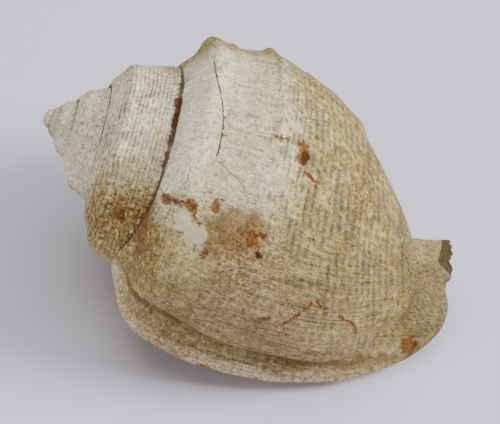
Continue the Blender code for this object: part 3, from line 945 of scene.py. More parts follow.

# %% [markdown]
# ## Stains, bleaching, bare spots and painted light
#
# A shell that has lain in soil and sun is whitest where its outer layer is whole, olive and rusty where
# the ground has stained it, and bleached on its older whorls. Some of the white and bleached ovals are also
# painted light on the ramp below the seam and on the shaded side of the spire, and some olive ovals are
# painted shade by the canal and in the groove behind the lip. An image could hold all this, but it blurs
# when seen closely. Every name below is one attribute of the mesh, and every oval is its growth angle,
# row, half width along, half width across and strength.

# %% Place the ground stains and the painted light
GROUND_STAINS_AND_PAINTED_LIGHT = {
    "white": (
        (-128, 2.9, 9, 7, 0.9), (-108, 2.7, 13, 9, 1.0), (-92, 3.0, 10, 8, 0.95), (-84, 3.6, 7, 6, 0.8),
        # The two ovals in row 1.2 are painted light on the ramp below the seam.
        (-115, 1.2, 12, 5, 0.55), (-90, 1.2, 12, 6, 0.5), (-100, 3.9, 9, 5, 0.5), (-450, 2.9, 8, 4, 0.5),
        (-425, 2.7, 3, 3, 0.8), (-470, 4.0, 8, 3, 0.35), (-435, 3.9, 5, 3, 0.4), (-137, 2.5, 4, 4, 0.8),
    ),
    "bleached": (
        # The ovals in rows 1.0 to 1.1 are painted light on the ramp below the seam; those on the spire are
        # bleaching and also painted light on its shaded side.
        (-136, 1.0, 7, 4, 0.8), (-120, 1.1, 12, 5, 0.9), (-95, 1.1, 12, 5, 0.85), (-72, 1.0, 6, 4, 0.5),
        (-520, 2.6, 6, 5, 0.5), (-480, 2.5, 9, 5, 0.6), (-450, 2.0, 7, 4, 0.4), (-800, 2.5, 9, 5, 0.95),
        (-770, 2.5, 9, 5, 0.9), (-850, 2.5, 6, 5, 0.9), (-1150, 2.5, 5, 4, 0.9), (-1240, 2.5, 4, 4, 0.9),
    ),
    "clean": ((-63, 2.22, 2.3, 1.5, 1.0), (-61, 2.8, 1.9, 2.0, 1.0), (-57, 2.65, 1.3, 1.2, 0.8)),
    "olive": (
        # The first five olive ovals, by the canal's side and in the groove behind the lip, are painted
        # shade.
        (-60, 8.7, 9, 6, 0.6), (-42, 7.8, 9, 7, 0.5), (-14, 8.5, 6, 7, 0.8), (-15, 5.0, 3, 20, 0.3),
        (-25, 9.0, 6, 6, 0.7),
        (-100, 6.0, 20, 12, 0.75), (-80, 7.6, 15, 10, 0.7), (-130, 5.0, 14, 12, 0.7), (-70, 6.2, 8, 6, 0.4),
        (-150, 0.7, 12, 8, 0.95), (-165, 2.0, 12, 9, 0.8), (-147, 3.5, 5, 6, 0.8), (-150, 4.8, 9, 6, 0.8),
        (-128, 4.7, 7, 4, 0.5), (-135, 6.0, 9, 7, 0.7), (-112, 6.4, 6, 4, 0.7), (-110, 4.9, 7, 3, 0.5),
        (-95, 4.8, 6, 3, 0.5), (-50, 1.2, 9, 8, 0.55), (-30, 2.0, 7, 9, 0.5), (-40, 0.6, 8, 5, 0.6),
        (-100, 7.2, 8, 5, 0.5), (-92, 8.2, 5, 4, 0.8), (-200, 4.0, 25, 20, 0.6), (-260, 4.0, 25, 20, 0.5),
        (-400, 1.4, 7, 5, 0.6), (-390, 3.0, 6, 6, 0.5), (-505, 3.0, 6, 6, 0.5), (-520, 1.5, 6, 5, 0.6),
    ),
    "pink": (
        (-35, 5.2, 16, 14, 0.9), (-45, 6.5, 14, 11, 0.85), (-30, 3.6, 12, 10, 0.7), (-60, 5.5, 12, 9, 0.5),
        (-8, 4.5, 5, 22, 0.6), (-60, 7.6, 12, 8, 0.5),
    ),
    "banded": (
        (-115, 5.5, 12, 6, 0.95), (-90, 5.6, 12, 6, 0.95), (-68, 5.8, 10, 6, 0.7), (-105, 6.7, 12, 6, 0.8),
        (-80, 6.9, 12, 6, 0.8), (-60, 7.0, 8, 6, 0.5), (-130, 5.2, 8, 7, 0.7), (-100, 4.4, 12, 4, 0.5),
        (-470, 3.3, 13, 6, 0.45), (-430, 1.5, 9, 4, 0.35),
    ),
}
for name, patches in GROUND_STAINS_AND_PAINTED_LIGHT.items():
    add_field(shell, name, ovals(patches))
print("ground stains:", ", ".join(GROUND_STAINS_AND_PAINTED_LIGHT))

# %% [markdown]
# ## Rust, soil and painted shade
#
# Over the ground colours lie the strong marks: areas with many rusty specks, single rust marks with dark
# middles, the large umber patch, and the soil that sticks to the rim and the canal. The earthy ovals are
# partly painted shade, which darkens the lip's right side and the groove behind the lip. They could be
# brushed on too, but here each mark is one line that can be found, moved and made fainter.

# %% Place the rust, the soil and the painted shade
DIRT_STAINS_AND_PAINTED_SHADE = {
    "rusty": (
        (-400, 3.0, 7, 6, 0.6), (-408, 4.0, 6, 4, 0.6), (-418, 3.2, 4, 4, 0.6), (-385, 2.0, 7, 6, 0.7),
        (-45, 1.5, 7, 7, 0.6), (-30, 3.0, 8, 10, 0.55), (-40, 4.6, 9, 8, 0.5), (-66, 3.7, 6, 5, 0.6),
        (-32, 5.8, 8, 10, 0.5), (-6, 3.8, 4, 10, 0.7), (-8, 6.5, 4, 9, 0.4), (-110, 6.6, 7, 4, 0.4),
        (-60, 1.0, 5, 6, 0.5), (-95, 8.0, 6, 5, 0.6), (-470, 0.6, 6, 2, 0.3), (-478, 3.5, 4, 3, 0.4),
        (-800, 3.0, 5, 5, 0.5),
        (-95, 6.3, 7, 6, 0.7), (-70, 8.2, 4, 8, 0.6), (-130, 7.0, 6, 6, 0.7), (-75, 4.8, 8, 5, 0.6),
        (-55, 3.9, 7, 6, 0.8), (-150, 3.5, 5, 6, 0.6), (-3, 2.5, 3, 8, 0.6), (-16, 5.0, 3, 16, 0.6),
    ),
    "rust": (
        (-66.4, 1.15, 0.8, 1.1, 0.9), (-67.3, 1.5, 0.9, 1.2, 0.9), (-68.5, 1.9, 1.0, 1.1, 0.9),
        (-490, 4.85, 0.8, 1.0, 0.7), (-476, 4.9, 1.0, 1.1, 0.8), (-110, 0.06, 2.2, 0.8, 0.55),
        (-104, 0.1, 1.6, 0.9, 0.5), (-97, 0.05, 2.2, 0.6, 0.45),
        (-72, 3.0, 1.3, 1.1, 1.0), (-66.5, 4.05, 1.9, 1.9, 0.9), (-71, 3.7, 1.2, 1.6, 0.4),
        (-64.2, 4.15, 1.0, 0.8, 0.9), (-56.5, 3.12, 1.6, 0.8, 0.8), (-53, 2.95, 1.2, 0.8, 0.6),
        (-110, 6.45, 3.0, 1.2, 0.55), (-17.5, 7.75, 2.2, 2.6, 0.95),
        (-6.5, 4.2, 1.0, 1.6, 0.7), (-6, 3.2, 0.9, 1.2, 0.6), (-7, 5.0, 0.8, 1.1, 0.65),
        (-404, 3.2, 1.4, 1.6, 0.8), (-409, 4.1, 1.4, 1.0, 0.8), (-423, 2.65, 1.0, 0.9, 0.7),
        (-101, 4.8, 1.9, 1.1, 0.95), (-98.5, 4.75, 1.2, 1.1, 0.8), (-69, 2.35, 1.5, 1.4, 0.8),
    ),
    "brown": (
        (-99, 4.85, 1.6, 0.8, 1.0), (-93, 5.05, 0.6, 0.9, 0.9), (-92, 5.22, 0.7, 0.5, 0.9),
        (-101, 4.1, 0.35, 1.2, 0.9), (-63, 4.22, 0.8, 0.9, 0.9), (-109.2, 3.13, 0.5, 0.4, 1.0),
        (-70.5, 7.8, 0.9, 0.35, 0.8), (-17.5, 7.9, 0.9, 1.1, 0.8), (-107, 0.05, 1.6, 0.35, 0.9),
        (-403, 3.35, 0.7, 0.8, 0.7),
    ),
    "umber": (
        (-66, 3.6, 4.6, 5.2, 0.9), (-72, 3.9, 3.0, 3.0, 0.6), (-62, 3.2, 3.0, 2.2, 0.6),
        (-52, 0.35, 6, 1.3, 0.6), (-40, 0.75, 5, 1.6, 0.6), (-100, 4.9, 4, 2.5, 0.45),
    ),
    "earthy": (
        # Soil, and painted shade: the ovals at -12 and -15.5 darken the lip's right side and the groove
        # behind the lip.
        (-42, 8.6, 7, 6, 0.85), (-20, 8.6, 7, 8, 0.85), (-12, 7.6, 4, 5, 0.6), (-15.5, 5.5, 2.0, 16, 0.5),
        (-5, 8.8, 5, 7, 0.7), (-152, 1.6, 9, 7, 0.5), (-55, 0.8, 6, 4, 0.4),
    ),
    "sandy": (
        (-60, 8.9, 9, 6, 0.5), (-40, 8.9, 7, 6, 0.5), (-100, 9.8, 9, 7, 1.0), (-150, 10.2, 9, 6, 1.0),
        (-60, 10.3, 8, 6, 1.0), (-220, 9.8, 9, 8, 1.0), (-300, 9.8, 9, 8, 0.9),
    ),
}
for name, patches in DIRT_STAINS_AND_PAINTED_SHADE.items():
    add_field(shell, name, ovals(patches))
print("rust and soil:", ", ".join(DIRT_STAINS_AND_PAINTED_SHADE))

# %% [markdown]
# ## The dirt in the seam, and the broken end
#
# Dirt gathers in the groove between two whorls, in some places more than in others. It could be one dark
# line of even width, but that looks drawn. The distance from the seam is stored on every point already,
# so only the width of the dirt is placed, by soft ovals again. The broken end is what lies both close
# round the canal's middle and at its very end.

# %% The seam and the broken end
END_RADIUS = (5.6, 4.6)
END_START = (85.5, 87.0)
SEAM_WIDTHS = (
    (-112, 0.0, 9, 3, 1.0), (-95, 0.0, 9, 3, 0.9), (-75, 0.0, 8, 3, 0.6), (-55, 0.0, 7, 3, 0.45),
    (-35, 0.0, 8, 3, 0.25), (-480, 0.0, 9, 3, 0.5), (-450, 0.0, 9, 3, 0.5), (-420, 0.0, 7, 3, 0.4),
    (-830, 0.0, 8, 3, 0.35), (-200, 0.0, 25, 5, 0.5), (-270, 0.0, 25, 5, 0.5), (-560, 0.0, 16, 4, 0.4),
)
add_field(shell, "seam_width", ovals(SEAM_WIDTHS))
rim_middle = sheets["last_whorl"][0][:, -1].mean(axis=0)
axis_end = fitted(rim_middle[None])[0]
from_axis = np.linalg.norm((placed - axis_end)[:, 1:], axis=1) * 1000
reach = field_of(shell, "reach")
broken_off = smooth(from_axis, *END_RADIUS) * smooth(reach, *END_START) * (reach > 0)
add_field(shell, "end", broken_off)
print("points at the broken end:", int((broken_off > 0.5).sum()))

# %% [markdown]
# ## Cracks and rusty veins
#
# The shoulder is cracked, and rust has crept along a few fine lines. Cutting them into the mesh would need
# far more faces. Each is a path of growth angles and rows, and the mesh stores how far every point is from
# the nearest path of its kind.

# %% Place the cracks
CRACKS = (
    (
        (-134, 1.85), (-127, 1.88), (-121, 2.0), (-115, 2.15),
        (-109, 2.33), (-102, 2.48), (-95, 2.53), (-88, 2.56),
    ),
    ((-131, 0.1), (-132, 0.8)),
)
THIN_CRACKS = (
    ((-88, 2.56), (-86, 2.8), (-84, 3.2), (-82, 3.45), (-78, 3.62)),
    ((-85, 1.75), (-81, 1.95), (-76, 2.0), (-70, 2.0)),
)
RUST_VEINS = (
    ((-66.5, 1.1), (-67.2, 1.5), (-68.3, 1.85), (-70, 2.25), (-69, 2.5), (-66, 2.55), (-64, 2.75)),
    ((-94.5, 4.85), (-93, 5.05), (-92, 5.25)),
    ((-101, 3.92), (-102, 4.1), (-102.5, 4.22)),
    ((-41, 5.0), (-46, 5.22), (-50, 5.4), (-53, 5.52), (-51, 5.65), (-48, 5.75)),
    ((-48, 6.0), (-46, 6.25), (-43, 6.38), (-40, 6.42)),
    ((-41, 4.6), (-42.5, 4.8)),
)
for name, paths in (("crack", CRACKS), ("thin_crack", THIN_CRACKS), ("vein", RUST_VEINS)):
    side, near = lines(paths)
    add_field(shell, name + "_side", side)
    add_field(shell, name + "_near", near)
    print(name, "paths:", len(paths), "with", int((near > 0.5).sum()), "points beside them")

# %% [markdown]
# ## Shader maths as plain expressions
#
# A finish like this needs many small sums. A node could be placed and linked for each by hand, but the
# result is hard to read. A small class wraps one output of a node, and its arithmetic adds the Math nodes,
# so a mask can be written as `1 - near * line`.

# %% Signals
class Signal:
    """One output of a node. Arithmetic with it adds Math nodes to the same finish."""

    def __init__(self, finish, socket):
        self.finish, self.socket = finish, socket

    def math(self, operation, *others):
        """A Math node with this signal first."""
        sockets = dict(enumerate((self, *others)))
        return self.finish.node("ShaderNodeMath", {"operation": operation}, sockets)

    def __add__(self, other):
        return self.math("ADD", other)

    def __sub__(self, other):
        return self.math("SUBTRACT", other)

    def __rsub__(self, other):
        return self.finish.node("ShaderNodeMath", {"operation": "SUBTRACT"}, {0: other, 1: self})

    def __mul__(self, other):
        return self.math("MULTIPLY", other)

    def __pow__(self, other):
        return self.math("POWER", other)

    __radd__, __rmul__ = __add__, __mul__

    def size(self):
        """Its size, whatever its sign."""
        return self.math("ABSOLUTE")

    def wave(self):
        """A sine of it, lifted to run from 0 to 1."""
        return self.math("SINE") * 0.5 + 0.5

    def step(self, low, high):
        """0 below low, 1 above high, and a soft step between."""
        return self.finish.node(
            "ShaderNodeMapRange",
            {"interpolation_type": "SMOOTHSTEP"},
            {"Value": self, "From Min": low, "From Max": high},
        )


print("a signal knows:", [name for name in vars(Signal) if not name.startswith("_")])

# %% [markdown]
# ## A finish
#
# A finish is a material with one Principled shader, which is enough for shell, stone or bone. Its nodes
# could be added one by one, with a line for each option and link. Here they all come from a single
# method, which sets a node's options and then links or fills its sockets. Noise and tint are short
# names for what is used most.

# %% Finishes
MIX_SHARE, MIX_UNDER, MIX_OVER, MIX_RESULT = 0, 6, 7, 2


class Finish:
    """A material, and the one way in which its nodes are added."""

    def __init__(self, name):
        self.material = bpy.data.materials.new(name)
        self.material.use_nodes = True
        self.tree = self.material.node_tree
        self.surface = self.tree.nodes["Principled BSDF"]

    def node(self, kind, settings=None, sockets=None, output=0):
        """Add one node, set its options, and link or fill its sockets."""
        made = self.tree.nodes.new(kind)
        for name, value in (settings or {}).items():
            setattr(made, name, value)
        for key, value in (sockets or {}).items():
            if isinstance(value, Signal):
                self.tree.links.new(value.socket, made.inputs[key])
            else:
                made.inputs[key].default_value = value
        return Signal(self, made.outputs[output])

    def field(self, name):
        """One number per point, as it was stored on the mesh."""
        return self.node("ShaderNodeAttribute", {"attribute_name": name}, output="Fac")

    def noise(self, vector, scale, detail=2.0, roughness=0.5):
        """A soft noise, from about 0 to 1."""
        sockets = {"Vector": vector, "Scale": scale, "Detail": detail, "Roughness": roughness}
        return self.node("ShaderNodeTexNoise", {}, sockets)

    def tint(self, under, colour, share, way="MIX"):
        """A colour laid over another, by this share."""
        settings = {"data_type": "RGBA", "blend_type": way}
        sockets = {MIX_SHARE: share, MIX_UNDER: under, MIX_OVER: colour}
        return self.node("ShaderNodeMix", settings, sockets, MIX_RESULT)

    def feed(self, name, signal):
        """Link a signal to the shader itself."""
        self.tree.links.new(signal.socket, self.surface.inputs[name])


chalk = Finish("weathered_shell")
print("the finish starts with", len(chalk.tree.nodes), "nodes")

# %% [markdown]
# ## Colours as a screen shows them
#
# A shader counts light evenly, and a screen doesn't. A colour given in numbers from 0 to 255 is therefore
# made linear before the shader gets it. The colour picker does the same with a hex value.

# %% Inks
def ink(red, green, blue):
    """A colour as a screen shows it, 0 to 255, made linear for the shader."""
    seen = np.array([red, green, blue]) / 255
    return (*np.where(seen < 0.04045, seen / 12.92, ((seen + 0.055) / 1.055) ** 2.4), 1.0)


print("a middle grey is, for the shader,", np.round(ink(128, 128, 128)[0], 3))

# %% [markdown]
# ## Two kinds of coordinates
#
# Some marks on a shell follow its growth, such as bands and growth lines, and others don't, such as pits
# and dirt. One kind of coordinates could serve both, but never well. So the UV map gives the turn and the
# row, and the Object coordinates, in millimetres, give the plain place in space.

# %% Coordinates of the finish
def count_nodes():
    print("nodes in the finish so far:", len(chalk.tree.nodes))


growth = chalk.node("ShaderNodeUVMap", {"uv_map": "growth"})
turn = chalk.node("ShaderNodeSeparateXYZ", {}, {0: growth}, 0) * 360
row = chalk.node("ShaderNodeSeparateXYZ", {}, {0: growth}, 1)
object_place = chalk.node("ShaderNodeTexCoord", {}, {}, "Object")
place = chalk.node("ShaderNodeVectorMath", {"operation": "SCALE"}, {0: object_place, "Scale": 1000.0})


def sheet_vector(along, across):
    """A point of the rolled-out sheet, stretched so that a noise on it runs in lines."""
    return chalk.node("ShaderNodeCombineXYZ", {}, {0: turn * along, 1: row * across})


count_nodes()

# %% [markdown]
# ## Noises of several sizes
#
# Nothing on a weathered shell is even. Broad noise changes whole areas, middle noise frays the edges of
# stains, and fine noise is the grain of the chalk. One noise could serve for all, but its shapes would
# then show through in every layer. The noises on the rolled-out sheet are stretched: streaks and dashes
# run round the shell, and growth lines and hairlines run from the seam to the canal.

# %% Noises of the finish
broad = chalk.noise(place, 0.11, 3.0, 0.55)
patchy = chalk.noise(place, 0.35, 4.0, 0.6)
ragged = chalk.noise(place, 1.1, 4.0, 0.65)
grain = chalk.noise(place, 3.2, 3.0, 0.7)
mottle = chalk.noise(place, 0.6, 5.0, 0.72)
specks = chalk.noise(place, 1.5, 5.0, 0.78)
warped_turn = turn + patchy * 3.0 + ragged * 0.5
growth_vector = chalk.node("ShaderNodeCombineXYZ", {}, {0: warped_turn * 1.2, 1: row * 0.8})
growth_lines = chalk.noise(growth_vector, 1.0, 4.0, 0.7)
hairlines = chalk.noise(sheet_vector(2.8, 0.5), 1.0, 3.0, 0.6)
wavy = chalk.noise(sheet_vector(0.05, 0.9), 1.0, 3.0, 0.6)
streaks = chalk.noise(sheet_vector(0.09, 5.0), 1.0, 3.0, 0.6)
dashes = chalk.noise(sheet_vector(0.3, 6.3), 1.0, 2.0, 0.6)
count_nodes()

# %% [markdown]
# ## Spiral cords
#
# Low, fine cords run round the whole shell. They could be modelled, but they are only about a tenth of a
# millimetre high, so they are a sine of the row, which later feeds the colour and the bump. A slow noise
# bends them a little, and the spire has fewer of them to a row than the last whorl.

# %% Spiral cords
on_spire = (turn + 360).step(8.0, -8.0)
cord_count = 6.3 - on_spire * 2.4
cord_wave = ((row + wavy * 0.2 + ragged * 0.06) * cord_count * (2 * np.pi)).wave()
cord_lines = (1 - cord_wave) ** (1.2 + on_spire * 1.6)
cords = cord_wave * (0.3 + 1.2 * streaks)
count_nodes()

# %% [markdown]
# ## Ground colours
#
# The shell's own layer is cream, whiter where it is still whole. Soil has turned parts of it olive and
# gold, and the body towards the lip is a dull pink. Parts of the white, bleached, olive and earthy layers
# are painted light and shade, and the pale rim is partly a painted highlight. The colours could be mixed
# in one ramp, but a ramp knows no places. They are laid over each other instead, like glazes, each through
# its own mask.

# %% Ground colours
CREAM, WHITE_AND_PAINTED_LIGHT, PINK = ink(196, 178, 128), ink(211, 199, 163), ink(163, 138, 108)
OLIVE_AND_SHADE, GOLD, BAND = ink(152, 130, 75), ink(134, 111, 58), ink(108, 99, 72)
SAND, LINE, PALE = ink(196, 176, 132), ink(104, 88, 58), ink(214, 200, 160)
DUST, BLEACHED_AND_PAINTED_LIGHT, RIM_AND_HIGHLIGHT, EARTH_AND_SHADE = ink(160, 146, 112), ink(243, 234, 208), ink(232, 208, 174), ink(128, 112, 76)

loose = (ragged - 0.5) * 1.1 + (patchy - 0.5) * 1.3 + (grain - 0.5) * 0.4


def frayed_mask(name, fray, low, high):
    """One of the stored masks, of stains and of painted light and shade, with its edge frayed by the loose
    noise.
    """
    return (chalk.field(name) + loose * fray).step(low, high)


white = frayed_mask("white", 1.3, 0.1, 0.85)
olive = frayed_mask("olive", 1.0, 0.1, 0.9)
pink = frayed_mask("pink", 0.7, 0.1, 0.9)
colour = chalk.tint(CREAM, PINK, pink * 0.9)
# Olive soil stains, and painted shade on the canal's side and in the groove behind the lip.
colour = chalk.tint(colour, OLIVE_AND_SHADE, olive * 0.85)
colour = chalk.tint(colour, GOLD, mottle.step(0.5, 0.6) * (0.25 + olive * 0.6))
colour = chalk.tint(colour, PALE, mottle.step(0.5, 0.37) * (0.65 - pink * 0.35))
sandy = frayed_mask("sandy", 0.6, 0.2, 0.8)
colour = chalk.tint(colour, SAND, sandy * 0.75)
earthy = frayed_mask("earthy", 0.8, 0.15, 0.85)
# The whole outer layer is white, and on the ramp below the seam this white is also painted light.
colour = chalk.tint(colour, WHITE_AND_PAINTED_LIGHT, white * 0.9)
dust = specks.step(0.53, 0.62) * 0.4 + patchy.step(0.52, 0.6) * 0.25
colour = chalk.tint(colour, DUST, white * dust)
# Bleaching of the old whorls, and painted light on the ramp and on the shaded side of the spire.
bleached = frayed_mask("bleached", 0.6, 0.15, 0.8)
colour = chalk.tint(colour, BLEACHED_AND_PAINTED_LIGHT, bleached * 0.9)
# The rolled lip is pale, and its colour is also lifted as a painted highlight on the top of the roll.
rim_and_highlight = (turn + 10.0 + (patchy - 0.5) * 9 + (ragged - 0.5) * 4).step(-2.0, 2.0) * (ROWS - row).step(2.0, 4.5)
colour = chalk.tint(colour, RIM_AND_HIGHLIGHT, rim_and_highlight * 0.85)
# Soil colour, partly painted shade on the lip's right side and in the groove behind the lip.
colour = chalk.tint(colour, EARTH_AND_SHADE, earthy * 0.6)
count_nodes()

# %% [markdown]
# ## Bands, growth lines and mottling
#
# Between the cords the darker layer below shows through in broken, grey-green bands, and thin growth lines
# cross them. A row of painted lines would be too even. A band is the trough of the cord wave, and shows
# only where its stain lies and where the dashed noise hasn't rubbed it out. The finest unevenness of all
# is one light that the colour is multiplied by.

# %% Bands, lines and mottling
GREYED = ink(136, 124, 94)

banded = frayed_mask("banded", 1.0, 0.1, 0.8)
colour = chalk.tint(colour, GREYED, banded * patchy.step(0.5, 0.58) * 0.6)
broken = (dashes + (patchy - 0.5) * 0.8).step(0.42, 0.6)
colour = chalk.tint(colour, BAND, banded * (1 - cord_wave).step(0.3, 0.8) * broken * 0.8)
cord_dirt = 0.3 + on_spire * 0.5 + (-160 - turn).step(0, 40) * (1 - on_spire) * 0.25
rubbed = 0.35 + 1.3 * broken * streaks
under_white = 1 - white * (0.85 - on_spire * 0.45)
where_cords = cord_dirt * rubbed * under_white * (1 - bleached * 0.4)
colour = chalk.tint(colour, LINE, cord_lines * where_cords)
wave_lines = chalk.noise(sheet_vector(3.2, 0.25), 1.0, 2.0, 0.5)
scratch = hairlines.step(0.56, 0.72) * 0.3 + growth_lines.step(0.55, 0.7) * (0.15 + pink * 0.5)
scratch = scratch + wave_lines.step(0.5, 0.6) * pink * 0.35
colour = chalk.tint(colour, LINE, scratch)
fine = (growth_lines - 0.5) * (1.4 + pink * 1.2) + (grain - 0.5) * 1.5
fine = fine + (broad - 0.5) * 0.5 + (ragged - 0.5) * 1.7
fine = fine + (hairlines - 0.5) * white * 1.2
light = chalk.node("ShaderNodeCombineColor", {}, {0: 1 + fine, 1: 1 + fine * 1.1, 2: 1 + fine * 1.35})
colour = chalk.tint(colour, light, 1.0, "MULTIPLY")
count_nodes()

# %% [markdown]
# ## Rust, umber and clean spots
#
# Iron in the ground leaves rust, as fine specks and as a few strong marks, and where a flake came off the
# shell is clean and pale. One flat brown would look like paint. The rust runs between two tones, and the
# same noises fray its edges, with the darkest brown only in the middle of the marks.

# %% Rust, umber and clean spots
RUST, DARK_RUST, BROWN, UMBER = ink(132, 78, 26), ink(98, 58, 26), ink(68, 40, 22), ink(124, 96, 58)
CLEAN = ink(210, 200, 162)

umber = frayed_mask("umber", 1.2, 0.3, 0.8)
colour = chalk.tint(colour, UMBER, umber * 0.85)
rust_tone = chalk.tint(RUST, DARK_RUST, specks.step(0.45, 0.6))
speckles = (specks + chalk.field("rusty") * 0.11 + rim_and_highlight * 0.04).step(0.57, 0.63)
spotted = (0.35 + 0.6 * chalk.field("rusty")) * (1 - white * 0.65) * (1 - pink * 0.35)
colour = chalk.tint(colour, rust_tone, speckles * spotted)
rust = (chalk.field("rust") + loose * 1.1 + (specks - 0.5) * 0.9).step(0.42, 0.66)
colour = chalk.tint(colour, rust_tone, rust * 0.9)
deep = frayed_mask("brown", 0.7, 0.4, 0.62)
colour = chalk.tint(colour, BROWN, deep * 0.9)
clean = frayed_mask("clean", 0.5, 0.45, 0.55)
colour = chalk.tint(colour, CLEAN, clean * 0.82)
count_nodes()

# %% [markdown]
# ## Pits
#
# Small creatures and sour water have eaten round pits into the surface. There are hundreds, so they aren't
# modelled one by one. A Voronoi texture scatters them: its distance draws a spot in the middle of each
# cell, and the colour of the cell, which is random, decides which cells keep theirs.

# %% Pits
PIT_BROWN = ink(70, 52, 32)


def dots(scale, size, kept):
    """Small round spots: a share of the cells of a scatter, each with one spot in its middle."""
    settings = {"feature": "F1"}
    sockets = {"Vector": place, "Scale": scale, "Randomness": 1.0}
    distance = chalk.node("ShaderNodeTexVoronoi", settings, sockets, "Distance")
    chance = chalk.node("ShaderNodeTexVoronoi", settings, sockets, "Color")
    chance = chalk.node("ShaderNodeSeparateColor", {}, {0: chance}, 0)
    return distance.step(size, size * 0.4) * chance.step(1 - kept, 1 - kept + 0.05)


pits = dots(0.6, 0.17, 0.35) * (1 - white * 0.7)
small_pits = dots(1.4, 0.26, 0.5) * (1 - white * 0.6)
colour = chalk.tint(colour, PIT_BROWN, (pits + small_pits * 0.6) * 0.7)
count_nodes()

# %% [markdown]
# ## Cracks, seam and hollow
#
# The stored distances now become lines. A crack is dark where the distance is less than its width, and a
# noise is added to the distance first, which makes the line wander. The dirt in the seam, the painted shade
# in the groove behind the lip, the broken end and the inside of the hollow are laid on in the same way,
# last of all, because nothing lies over them.

# %% Cracks and seam
CRACK_DARK, VEIN_BROWN, GROOVE_SHADE = ink(58, 46, 38), ink(104, 62, 30), ink(104, 80, 54)
SEAM_DIRT, SEAM_RUST = ink(92, 70, 48), ink(86, 50, 26)
BROKEN_EDGE, HOLLOW = ink(104, 92, 64), ink(196, 172, 134)


def line_mask(name, width, jitter):
    """A wandering line, so many millimetres wide to each side, along the stored paths."""
    side = chalk.field(name + "_side") + (ragged - 0.5) * jitter
    return side.size().step(width, width * 0.35) * chalk.field(name + "_near")


crack = line_mask("crack", 0.2, 1.0)
thin_crack = line_mask("thin_crack", 0.13, 1.0)
vein = line_mask("vein", 0.45, 2.4) * (dashes + specks).step(0.75, 1.0)
colour = chalk.tint(colour, CRACK_DARK, crack * 0.9 + thin_crack * 0.5)
colour = chalk.tint(colour, VEIN_BROWN, vein)
# Painted shade: a dark line in the groove behind the lip's roll.
groove_shade = (turn + 15.5 + (patchy - 0.5) * 4).size().step(2.2, 0.3) * (10 - row).step(1.5, 3.0)
colour = chalk.tint(colour, GROOVE_SHADE, groove_shade * 0.7)
seam_width = chalk.field("seam_width") * (0.35 + 1.3 * patchy)
seam = (chalk.field("seam") + (ragged - 0.5) * 1.6 + (grain - 0.5) * 0.4).step(seam_width, seam_width * 0.4)
seam = seam * (1 - chalk.field("inside").step(0, 0.1)) * chalk.field("seam_width").step(0.0, 0.25)
seam_tone = chalk.tint(SEAM_DIRT, SEAM_RUST, chalk.field("seam_width").step(0.5, 0.9))
colour = chalk.tint(colour, seam_tone, seam * 0.85)
end = chalk.field("end").step(0.35, 0.7)
colour = chalk.tint(colour, BROKEN_EDGE, end * 0.9)
inside = chalk.field("inside").step(0.0, 0.6)
colour = chalk.tint(colour, HOLLOW, inside * 0.85)
chalk.feed("Base Color", colour)
count_nodes()

# %% [markdown]
# ## Roughness and relief
#
# Worn shell is dull, and a little less so where its outer layer is whole. Its finest relief could be real
# displacement, for millions of faces. A bump only bends the light, which is enough for what is so low.
# Its height is added up from the masks of the colour, so that a dark pit is also a hollow.

# %% Roughness and relief
DULL_SHINE = 0.12

chalk.surface.inputs["Specular IOR Level"].default_value = DULL_SHINE
chalk.feed("Roughness", 0.86 - white * 0.16 - inside * 0.2 + (grain - 0.5) * 0.15)
height = cords * (0.05 + banded * 0.06 + on_spire * 0.08) * (1 - white * 0.6)
height = height + growth_lines * (0.2 + pink * 0.25) + ragged * 0.3 + grain * 0.12 + patchy * 0.9
height = height - (pits + small_pits * 0.5) * 0.25 - crack * 0.35 - thin_crack * 0.12 - seam * 0.3
height = height + rust * 0.1 + (sandy + end) * (ragged + grain) * 0.6 + clean * 0.15
bump_sockets = {"Height": height, "Strength": 1.0, "Distance": MM}
chalk.feed("Normal", chalk.node("ShaderNodeBump", {}, bump_sockets))
shell.data.materials.clear()
shell.data.materials.append(chalk.material)
count_nodes()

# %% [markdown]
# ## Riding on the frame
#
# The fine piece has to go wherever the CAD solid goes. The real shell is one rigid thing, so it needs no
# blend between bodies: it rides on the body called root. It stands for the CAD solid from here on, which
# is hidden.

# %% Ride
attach(shell, "root")
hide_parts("shell")
print(shell.name, "rides on the body root and stands for the node shell")

# %% [markdown]
# ## The floor
#
# The shell lies on a plain, pale, matt surface. It could be a curved backdrop, but from so high up only
# the floor is seen, so one large plane is enough.

# %% Floor
FLOOR_SIZE = 6
FLOOR_COLOUR = (0.598, 0.575, 0.685, 1)
FLOOR_ROUGHNESS = 0.9


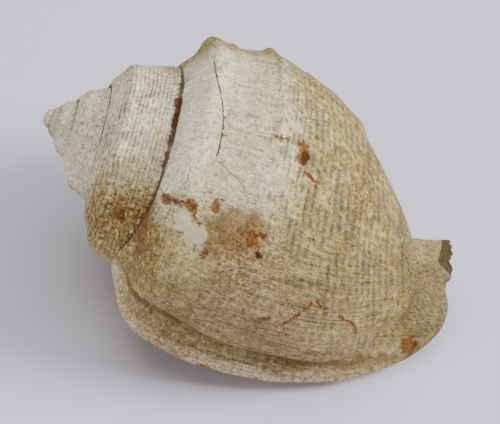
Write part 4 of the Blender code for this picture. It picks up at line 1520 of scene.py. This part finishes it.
def add_floor():
    """A plain, pale, matt plane for the shell to lie on."""
    deselect_all()
    bpy.ops.mesh.primitive_plane_add(size=FLOOR_SIZE, location=(0, 0, 0))
    floor = bpy.context.object
    floor.name = "floor"
    paper = bpy.data.materials.new("floor")
    paper.use_nodes = True
    surface = paper.node_tree.nodes["Principled BSDF"]
    surface.inputs["Base Color"].default_value = FLOOR_COLOUR
    surface.inputs["Roughness"].default_value = FLOOR_ROUGHNESS
    floor.data.materials.append(paper)
    return floor


print("floor:", np.round(add_floor().dimensions[:2], 1), "m")

# %% [markdown]
# ## The light
#
# A sun lamp would cut hard shadows. Round area lamps give shadows that grow softer with distance: a wide
# one overhead, a weak one low on the left, and a stronger one high on the right. The world adds a little
# warm light from everywhere, which keeps the shaded side from going black.

# %% Light
# Each lamp's place, the point it is aimed at, its width and its power
LAMPS = (
    ((0.05, 0.12, 1.10), (0, 0, 0.0), 1.1, 9.4),
    ((-0.62, -0.74, 0.26), (0, 0, 0.02), 0.7, 4.0),
    ((1.10, 0.12, 0.82), (0, 0, 0.02), 0.55, 29.0),
)
WORLD_COLOUR = (1.0, 0.97, 0.82, 1)
WORLD_STRENGTH = 0.30


def add_soft_box(place, aim, size, power):
    """A round area lamp that looks at the point it is aimed at."""
    bpy.ops.object.light_add(type="AREA", location=place)
    lamp = bpy.context.object
    lamp.data.shape = "DISK"
    lamp.data.size = size
    lamp.data.energy = power
    to_aim = Vector(aim) - lamp.location
    lamp.rotation_euler = to_aim.to_track_quat("-Z", "Y").to_euler()
    return lamp


for lamp in LAMPS:
    add_soft_box(*lamp)
world = bpy.data.worlds.new("studio")
bpy.context.scene.world = world
world.use_nodes = True
sky = world.node_tree.nodes["Background"]
sky.inputs["Color"].default_value = WORLD_COLOUR
sky.inputs["Strength"].default_value = WORLD_STRENGTH
print(len(LAMPS), "lamps, and a world of strength", WORLD_STRENGTH)

# %% [markdown]
# ## One size
#
# The real thing has one size, so the fine piece must not grow out of the box of the CAD model.
